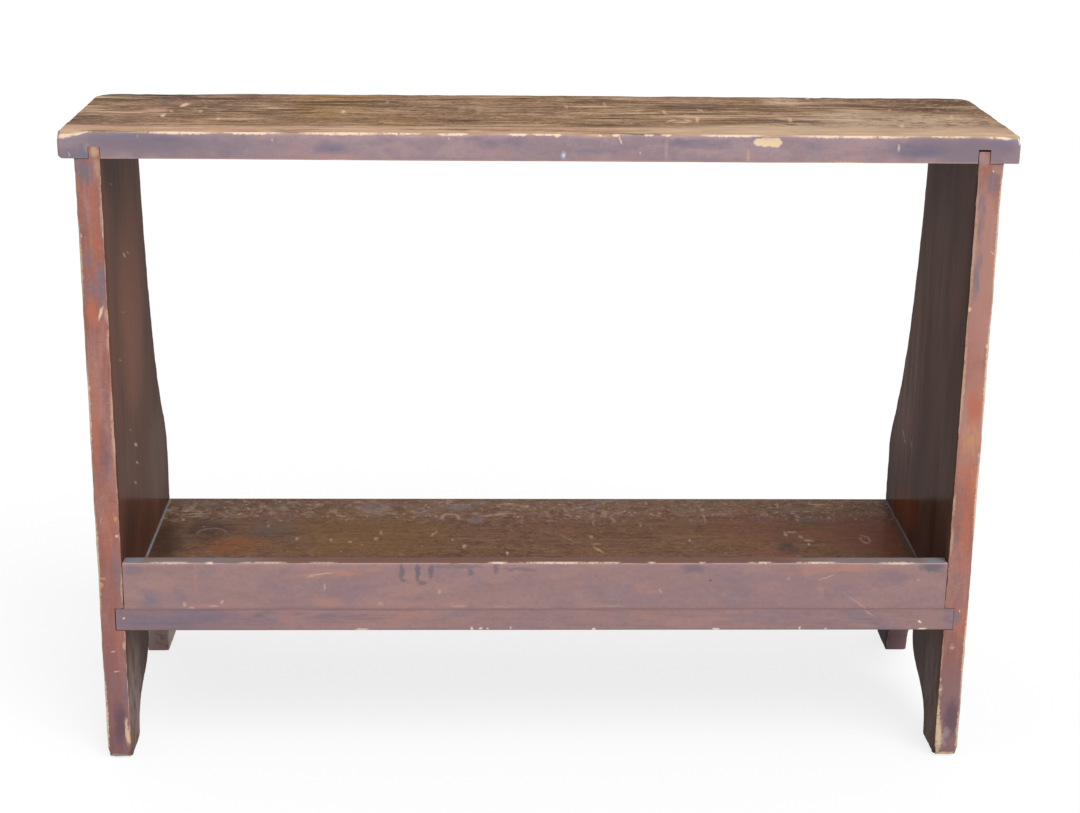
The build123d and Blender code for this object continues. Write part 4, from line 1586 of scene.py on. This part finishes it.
@dataclass
class TopBoard(Board):
    """The top: one wide plank with rounded back corners and a groove for each end board."""

    half_length: float = 520.0
    depth: float = 264.5
    back_corners: tuple[float, float] = (28.0, 19.0)  # left, right
    front_corner: float = 4.0
    corner_segments: int = 8
    edge_round: float = 2.5
    lower_edge_round: float = 0.6
    lower_left_round: float = 6.5
    left_rim: tuple[float, ...] = (0.16, 0.3, 0.5, 0.75)  # cuts, as shares of that round
    grooves: tuple[Corner, Corner] = (  # left side, right side and top of each
        (-486.6, -474.1, 727.0),
        (473.9, 486.8, 729.2),
    )
    rims: Rims = (((8.0, 28.0), (19.0, 8.0)), ((5.0, 9.0), (28.0, 8.0)), ((5.0, 10.0), (10.0, 5.0)))
    steps: tuple[float, float] = (5.0, 8.0)  # along the bench, across it
    wear: Wear = Wear(
        reach=4.0,
        dip=0.9,
        dip_length=34.0,
        chip=0.6,
        wave=0.6,
        dents=(
            Dent((-520, -185, 744), (34, 9, 9), 3.6),
            Dent((520, -185, 744), (20, 9, 7), 2.6),
            Dent((243, -185, 737), (20, 4, 6), 1.2),
            Dent((335, 79.5, 744), (8, 6, 5), 2.0),
            Dent((390, -185, 742), (14, 5, 5), 1.6),
            Dent((-450, 79.5, 744), (95, 40, 8), 1.3),
            Dent((-120, -185, 744), (34, 5, 4), 1.6),
            Dent((60, -185, 744), (24, 5, 4), 1.4),
        ),
    )

    def shape(self) -> tuple[Piece, np.ndarray]:
        """Model the plank before its wear.

        Returns:
            The board's mesh, and the ends of its arrises in millimetres.
        """
        s = self.sizes
        low = (-self.half_length, s.front, s.top_underside)
        high = (self.half_length, s.front + self.depth, s.height)
        piece = add_block("top_board_worn", low, high)
        start_edit(piece)
        left, right = self.back_corners
        for radius, x_sign, y_sign in (
            (left, -1, 1),
            (right, 1, 1),
            (self.front_corner, -1, -1),
            (self.front_corner, 1, -1),
        ):
            round_arrises(
                piece,
                radius,
                lambda edge: runs_along(edge, Z)
                and edge.verts[0].co.x * x_sign > 0
                and edge.verts[0].co.y * y_sign > 0,
                self.corner_segments,
            )
        arrises = sharp_lines(piece)
        slice_rims(low, high, self.rims)
        for axis, step in zip((X, Y), self.steps):
            divide_long_edges(piece, axis, step)
        upper = (s.height - NEAR) * MM
        round_arrises(piece, self.edge_round, lambda edge: edge.verts[0].co.z > upper)
        round_arrises(piece, self.lower_edge_round)
        slice_at(X, [share * self.lower_left_round - self.half_length for share in self.left_rim])
        let_go()
        for left, right, top in self.grooves:
            cut_away(piece, (left, s.front - PAST, low[Z] - PAST), (right, high[Y] + PAST, top))
        return piece, arrises

    def round_lower_left(self, piece: Piece) -> None:
        """Round the lower arris of the left end, which handling has worn away."""
        points = mesh_points(piece)
        out = np.clip(1 - (points[:, X] + self.half_length) / self.lower_left_round, 0.0, 1.0)
        low = 1 - (points[:, Z] - self.sizes.top_underside) / (2 * self.lower_left_round)
        share = (1 - np.sqrt(1 - out**2)) * np.clip(low, 0.0, 1.0)
        Wear.press(piece, "lower_left", share, -self.lower_left_round, direction="Z")

    def build(self) -> None:
        """Model the top, wear it, finish it and hand it in."""
        piece, arrises = self.shape()
        self.round_lower_left(piece)
        lower = arrises[:, :, Z].max(axis=1) < self.sizes.top_underside + NEAR
        self.wear.apply(piece, arrises[~lower], arrises[lower])
        finishes = (
            (TopEdgePine().material(), None),
            (WornTopPine().material(), lambda normal: normal.z > 0.75),
            (UndersidePine().material(), lambda normal: normal.z < -0.8),
        )
        self.hand_in(piece, finishes, "top_board", "worn_top_pine")


@dataclass
class EndBoards(Board):
    """The two end boards: shaped back edge, cut-out foot, tongue above and a housed shelf."""

    neck_depth: float = 251.5
    neck_lean: float = 3.5  # degrees
    neck_pull: float = 365.0  # length of a curve's handle, as every pull here
    shoulder_height: float = 268.0
    shoulder_pull: float = 48.0
    foot_depth: float = 63.5
    foot_lean: float = 6.0  # degrees
    foot_pull: float = 80.0
    toe_round: float = 3.0
    toe_handle: float = 0.45  # share of the toe's round from a handle to its corner
    brow_pull: float = 75.0
    arch_radius: float = 26.0
    arch_height: float = 106.0
    curve_steps: int = 24
    edge_round: float = 1.5
    tongue_thickness: float = 12.4
    tongue_height: float = 13.5
    housing_depth: float = 11.0
    housing_play: tuple[float, float] = (0.1, 0.3)  # under the shelf, over it
    shelf_nails: tuple[float, ...] = (-140.0, 0.0, 140.0)
    rail_nails: tuple[float, ...] = (205.5, 234.5)
    head_depth: float = 3.0
    grid: float = 8.0
    grid_start: tuple[float, float] = (5.0, 6.0)  # from the front, from the floor
    inner_cut: float = 5.0  # from the inner face
    outer_cuts: tuple[float, float] = (9.5, 5.0)  # from the outer face
    toes: tuple[tuple[float, float], ...] = (
        (-474, -185),
        (-502, -122),
        (474, -185),
        (502, -185),
        (-502, -185),
    )

    def outline(self) -> list[tuple[Corner, Corner, Corner]]:
        """The side view as Bezier points: each has its back handle, its place and its front handle.

        The depth from the front edge comes first and the height second.
        """
        s = self.sizes
        neck, foot, toe = self.neck_depth, self.foot_depth, self.toe_round
        lean = math.tan(math.radians(self.neck_lean))
        foot_lean = math.tan(math.radians(self.foot_lean))
        middle = s.depth / 2
        side = middle - self.arch_radius
        bow = self.arch_radius * 0.5523  # makes a quarter circle of a Bezier curve
        crown = self.arch_height + self.arch_radius
        tip = s.top_underside + self.tongue_height
        near = toe * self.toe_handle
        half = [
            ((near, 0), (toe, 0), None),
            (None, (foot - toe, 0), (foot - near, 0)),
            (
                (foot + toe * 0.05, near),
                (foot + toe * foot_lean, toe),
                (foot + self.foot_pull * foot_lean, self.foot_pull),
            ),
            (
                (side, self.arch_height - self.brow_pull),
                (side, self.arch_height),
                (side, self.arch_height + bow),
            ),
            ((middle - bow, crown), (middle, crown), (middle + bow, crown)),
        ]
        flip = lambda point: None if point is None else (s.depth - point[0], point[1])
        far = [(flip(after), flip(place), flip(before)) for before, place, after in half[-2::-1]]
        far[-1] = (far[-1][0], far[-1][1], (s.depth - near, 0))
        shoulder = self.shoulder_height
        rest = [
            ((s.depth, near), (s.depth, toe), None),
            (None, (s.depth, shoulder), (s.depth, shoulder + self.shoulder_pull)),
            (
                (neck + self.neck_pull * lean, s.top_underside - self.neck_pull),
                (neck, s.top_underside),
                None,
            ),
            (None, (neck, tip), None),
            (None, (0, tip), None),
            (None, (0, toe), (0, near)),
        ]
        return half + far + rest

    def draw(self, name: str) -> Piece:
        """Draw the outline as a curve and turn it into a line of edges.

        Args:
            name: the name of the piece.

        Returns:
            The piece, at the inner face of the right-hand board.
        """
        let_go()
        bpy.ops.curve.primitive_bezier_curve_add()
        piece = bpy.context.object
        piece.name = name
        piece.data.dimensions = "2D"
        piece.data.fill_mode = "NONE"
        piece.data.resolution_u = self.curve_steps
        spline = piece.data.splines[0]
        outline = self.outline()
        spline.bezier_points.add(len(outline) - len(spline.bezier_points))
        spline.use_cyclic_u = True
        for index, (before, place, after) in enumerate(outline):
            last, following = outline[index - 1][1], outline[(index + 1) % len(outline)][1]
            thirds = lambda other: [(2 * a + b) / 3 for a, b in zip(place, other)]
            point = spline.bezier_points[index]
            point.handle_left_type = point.handle_right_type = "FREE"
            point.co, point.handle_left, point.handle_right = (
                (depth * MM, height * MM, 0)
                for depth, height in (place, before or thirds(last), after or thirds(following))
            )
        bpy.ops.object.convert(target="MESH")
        piece = bpy.context.object
        piece.location = (self.sizes.end_inner * MM, self.sizes.front * MM, 0)
        piece.rotation_euler = (math.pi / 2, 0, math.pi / 2)
        bpy.ops.object.transform_apply(location=True, rotation=True, scale=True)
        return piece

    def shape(self) -> tuple[Piece, np.ndarray]:
        """Model the right-hand board before its wear.

        Returns:
            The board's mesh, and the ends of its arrises in millimetres.
        """
        s = self.sizes
        piece = self.draw("right_end_board_worn")
        start_edit(piece)
        bpy.ops.mesh.select_all(action="SELECT")
        bpy.ops.mesh.remove_doubles(threshold=1e-5)
        bpy.ops.mesh.edge_face_add()
        thickness = (s.end_outer - s.end_inner) * MM
        bpy.ops.mesh.extrude_region_move(TRANSFORM_OT_translate={"value": (thickness, 0, 0)})
        turn_faces_out()
        arrises = sharp_lines(piece)
        arrises = arrises[arrises[:, :, Z].max(axis=1) < s.top_underside + NEAR]
        slice_at(Z, (s.top_underside - self.edge_round,))
        round_arrises(
            piece,
            self.edge_round,
            lambda edge: not runs_along(edge, X)
            and max(vert.co.z for vert in edge.verts) < s.top_underside * MM,
        )
        let_go()
        under, over = self.housing_play
        for low, high in (
            (
                (s.end_inner + self.tongue_thickness, s.front - PAST, s.top_underside),
                (s.end_outer + PAST, s.back, s.height),
            ),
            (
                (s.end_inner - PAST, s.front - PAST, s.shelf_underside - under),
                (s.end_inner + self.housing_depth, s.back + PAST, s.shelf_top + over),
            ),
            *self.nail_holes(),
        ):
            cut_away(piece, low, high)
        start_edit(piece)
        front, floor = self.grid_start
        slice_at(Z, np.arange(floor, s.top_underside, self.grid))
        slice_at(Y, np.arange(s.front + front, s.back, self.grid))
        slice_at(X, [s.end_inner + self.inner_cut])
        slice_at(X, [s.end_outer - cut for cut in self.outer_cuts])
        let_go()
        return piece, arrises

    def nail_holes(self) -> list[tuple[Vector, Vector]]:
        """Place the holes for the nail heads in the right-hand board's outer face.

        Returns:
            The lowest and the highest corner of each hole.
        """
        s = self.sizes
        width, length = s.nail_head
        shelf_middle = (s.shelf_top + s.shelf_underside) / 2
        shelf = [((s.end_outer, y, shelf_middle), (length, width)) for y in self.shelf_nails]
        y = s.front + s.rail_nails
        rail = [((s.end_outer, y, z), (width, length)) for z in self.rail_nails]
        return [
            (Vector(middle) - Vector((self.head_depth, *half)),
             Vector(middle) + Vector((self.head_depth, *half)))
            for middle, half in shelf + rail
        ]

    def build(self) -> None:
        """Model both end boards, wear each in its own way, finish them and hand them in."""
        right, arrises = self.shape()
        left = mirrored(right, "left_end_board_worn")
        toes = tuple(Dent((x, y, 0), (14, 9, 10), 3.4) for x, y in self.toes)
        wear = Wear(reach=3.5, dip=0.9, chip=0.4, wave=0.5, dents=toes)
        wear.apply(right, arrises)
        wear.apply(left, arrises * np.array([-1, 1, 1]))
        edge, outside = EndEdgePine().material(), EndFacePine().material()
        insides = RightInsidePine().material(), LeftInsidePine().material()
        nodes = "right_end_board", "left_end_board"
        for piece, node, sign, inside in zip((right, left), nodes, (1, -1), insides):
            finishes = (
                (edge, None),
                (inside, lambda normal: normal.x * sign < -0.75),
                (outside, lambda normal: normal.x * sign > 0.75),
            )
            self.hand_in(piece, finishes, node, "stained_end_pine")


@dataclass
class Shelf(Board):
    """The lower shelf: one wide plank whose ends stand in the end boards."""

    left_end: float = -484.2
    right_end: float = 485.0
    edge_round: float = 1.5
    rims: Rims = (((4.0, 8.0), (8.0, 4.0)),) * 3
    steps: tuple[float, float] = (6.0, 10.0)  # along the bench, across it
    rail_nails: tuple[float, ...] = (-384.1, -128.03, 128.03, 384.1)
    head_depth: float = 3.0
    cut_start: float = 160.0  # the height that the nail holes are cut from
    wear: Wear = Wear(reach=3.0, dip=0.6, chip=0.5, wave=0.12)

    def shape(self) -> tuple[Piece, np.ndarray]:
        """Model the shelf before its wear.

        Returns:
            The board's mesh, and the ends of the arrises that are to wear, in millimetres.
        """
        s = self.sizes
        low = (self.left_end, s.front, s.shelf_underside)
        high = (self.right_end, s.back, s.shelf_top)
        piece = add_block("lower_shelf_worn", low, high)
        start_edit(piece)
        arrises = sharp_lines(piece)
        under_rail = arrises[:, :, Y].max(axis=1) < 0
        under_rail &= arrises[:, :, Z].min(axis=1) > s.shelf_top - NEAR
        # The long arrises end in the housings too, so this leaves none of them to wear.
        housed = abs(arrises[:, :, X]).min(axis=1) > s.end_inner
        slice_rims(low, high, self.rims)
        for axis, step in zip((X, Y), self.steps):
            divide_long_edges(piece, axis, step)
        upper = (s.shelf_top - NEAR) * MM
        round_arrises(
            piece,
            self.edge_round,
            lambda edge: runs_along(edge, X)
            and not (edge.verts[0].co.y < 0 and edge.verts[0].co.z > upper),
        )
        let_go()
        width, length = s.nail_head
        y = s.front + s.rail_nails
        for x in self.rail_nails:
            low = (x - length, y - width, self.cut_start)
            cut_away(piece, low, (x + length, y + width, s.shelf_underside + self.head_depth))
        return piece, arrises[~(under_rail | housed)]

    def build(self) -> None:
        """Model the shelf, wear it, finish it and hand it in."""
        piece, arrises = self.shape()
        self.wear.apply(piece, arrises)
        finishes = (
            (UndersidePine().material(), None),
            (ShelfPine().material(), lambda normal: normal.z > 0.75),
            (ShelfEdgePine().material(), lambda normal: normal.y < -0.4),
        )
        self.hand_in(piece, finishes, "lower_shelf", "shelf_pine")


@dataclass
class Rail(Board):
    """The low rail that stands on the front of the shelf."""

    height: float = 57.0
    thickness: float = 19.5
    end_gap: float = 0.15
    edge_round: float = 2.0
    lower_edge_round: float = 0.15
    lower_segments: int = 2
    rims: Rims = (((5.0,), (5.0,)), ((5.0,), (5.0,)), ((4.0, 9.0), (9.0, 4.5)))
    steps: tuple[float, float] = (5.0, 8.0)  # along the bench, upwards
    wear: Wear = Wear(reach=3.0, dip=0.8, chip=0.5, wave=0.12)

    def shape(self) -> tuple[Piece, np.ndarray]:
        """Model the rail before its wear.

        Returns:
            The board's mesh, and the ends of its upper arrises in millimetres.
        """
        s = self.sizes
        end = s.end_inner - self.end_gap
        low = (-end, s.front, s.shelf_top)
        high = (end, s.front + self.thickness, s.shelf_top + self.height)
        piece = add_block("front_rail_worn", low, high)
        start_edit(piece)
        arrises = sharp_lines(piece)
        slice_rims(low, high, self.rims)
        for axis, step in zip((X, Z), self.steps):
            divide_long_edges(piece, axis, step)
        for radius, segments, bottom, top in (
            (self.edge_round, 3, high[Z] - NEAR, high[Z] + NEAR),
            (self.lower_edge_round, self.lower_segments, low[Z] - NEAR, low[Z] + NEAR),
        ):
            round_arrises(
                piece,
                radius,
                lambda edge: runs_along(edge, X)
                and bottom * MM < edge.verts[0].co.z < top * MM,
                segments,
            )
        let_go()
        return piece, arrises[arrises[:, :, Z].min(axis=1) > high[Z] - NEAR]

    def build(self) -> None:
        """Model the rail, wear it, finish it and hand it in."""
        piece, arrises = self.shape()
        self.wear.apply(piece, arrises)
        finishes = (
            (RailPine().material(), None),
            (UndersidePine().material(), lambda normal: normal.y > 0.75),
        )
        self.hand_in(piece, finishes, "front_rail", "rail_pine")


@dataclass
class Nails:
    """The cut nails, kept as the part has them and given their iron."""

    nodes: tuple[str, ...] = (
        "top_nails_left",
        "top_nails_right",
        "shelf_nails_left",
        "shelf_nails_right",
        "rail_nails_left",
        "rail_nails_right",
        "rail_nails_below",
    )

    def build(self, frame: dict) -> None:
        """Give every nail its material.
        """
        iron = WroughtIron().material()
        for name in self.nodes:
            node = frame["nodes"][name]
            node.data.materials.clear()
            node.data.materials.append(iron)
            log.info("%s: finished in %s", name, iron.name)


# ---------------------------------------------------------------------------------------------
# The studio
# ---------------------------------------------------------------------------------------------


@dataclass
class Studio:
    """A pale floor, an even sky of light, one soft sun from the front right, and the camera."""

    white: str = "#ffffff"
    bounce: str = "#c8c8c8"  # what the floor gives back to the bench
    glow: float = 0.8  # share of plain white in the floor that the camera sees
    floor_half: float = 30.0  # m
    sky_strength: float = 0.55
    sun_strength: float = 2.25
    sun_height: float = 50.0  # degrees above the floor
    sun_turn: float = 25.0  # degrees to the right of the front
    sun_angle: float = 40.0  # degrees across, for soft shadows
    sun_distance: float = 4.0  # m
    camera_place: Corner = (-0.0680, -2.3888, 1.1358)  # m
    pitch: float = 17.59  # degrees below level
    yaw: float = 1.79  # degrees to the right
    roll: float = -0.675  # degrees
    lens: float = 68.87  # mm
    sensor_width: float = 36.0  # mm
    clip_end: float = 200.0  # m

    def build(self) -> None:
        """Set up floor, light and camera."""
        self.lay_floor()
        self.set_light()
        self.stand_camera()

    def lay_floor(self) -> None:
        """Lay the floor: white to the camera, a plain mid tone to the light that it gives back."""
        let_go()
        bpy.ops.mesh.primitive_plane_add(size=2 * self.floor_half)
        floor = bpy.context.object
        floor.name = "studio_floor"
        material = bpy.data.materials.new("studio_floor_paper")
        material.use_nodes = True
        tree, white = material.node_tree, linear(self.white)
        tree.nodes.clear()
        rays = add_node(tree, "LightPath").outputs
        either = {0: rays["Is Camera Ray"], 1: rays["Is Glossy Ray"]}
        seen = add_node(tree, "Math", either, operation="MAXIMUM").outputs[0]
        tones = {"Factor": seen, 6: linear(self.bounce), 7: white}
        paper = add_node(tree, "Mix", tones, data_type="RGBA").outputs[2]
        lit = add_node(tree, "BsdfDiffuse", {"Color": paper}).outputs[0]
        plain = add_node(tree, "Emission", {"Color": white, "Strength": 1.0}).outputs[0]
        share = add_node(tree, "Math", {0: seen, 1: self.glow}, operation="MULTIPLY").outputs[0]
        both = add_node(tree, "MixShader", {0: share, 1: lit, 2: plain}).outputs[0]
        add_node(tree, "OutputMaterial", {"Surface": both})
        floor.data.materials.append(material)

    def set_light(self) -> None:
        """Set the sky and the soft sun."""
        world = bpy.data.worlds.new("studio_sky")
        bpy.context.scene.world = world
        world.use_nodes = True
        tree = world.node_tree
        tree.nodes.clear()
        seen = add_node(tree, "LightPath").outputs["Is Camera Ray"]
        strength = add_node(tree, "Mix", {"Factor": seen, 2: self.sky_strength, 3: 1.0}).outputs[0]
        sky = add_node(tree, "Background", {"Color": linear(self.white), "Strength": strength})
        add_node(tree, "OutputWorld", {"Surface": sky.outputs[0]})
        let_go()
        height, turn = math.radians(self.sun_height), math.radians(self.sun_turn)
        level = math.cos(height)
        towards = Vector((level * math.sin(turn), -level * math.cos(turn), math.sin(height)))
        bpy.ops.object.light_add(type="SUN", location=towards * self.sun_distance)
        sun = bpy.context.object
        sun.name = "soft_sun"
        sun.rotation_euler = towards.to_track_quat("Z", "Y").to_euler()
        sun.data.energy = self.sun_strength
        sun.data.angle = math.radians(self.sun_angle)

    def stand_camera(self) -> None:
        """Stand the camera where it looks slightly down on the bench from the front."""
        pitch, yaw, roll = (math.radians(turn) for turn in (self.pitch, self.yaw, self.roll))
        flat = math.cos(pitch)
        ahead = Vector((math.sin(yaw) * flat, math.cos(yaw) * flat, -math.sin(pitch)))
        level = Vector((math.cos(yaw), -math.sin(yaw), 0.0))
        down = ahead.cross(level)
        right = math.cos(roll) * level + math.sin(roll) * down
        below = -math.sin(roll) * level + math.cos(roll) * down
        let_go()
        bpy.ops.object.camera_add()
        camera = bpy.context.object
        turned = Matrix((right, -below, -ahead)).transposed().to_4x4()
        camera.matrix_world = Matrix.Translation(Vector(self.camera_place)) @ turned
        camera.data.lens = self.lens
        camera.data.sensor_width = self.sensor_width
        camera.data.clip_end = self.clip_end
        bpy.context.scene.camera = camera


def main() -> None:
    """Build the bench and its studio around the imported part."""
    logging.basicConfig(level=logging.INFO, format="%(message)s")
    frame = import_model()
    bpy.context.scene.view_settings.view_transform = "Standard"
    sizes = BenchSizes()
    TopBoard(sizes).build()
    EndBoards(sizes).build()
    Shelf(sizes).build()
    Rail(sizes).build()
    Nails().build(frame)
    Studio().build()


if __name__ == "__main__":
    main()
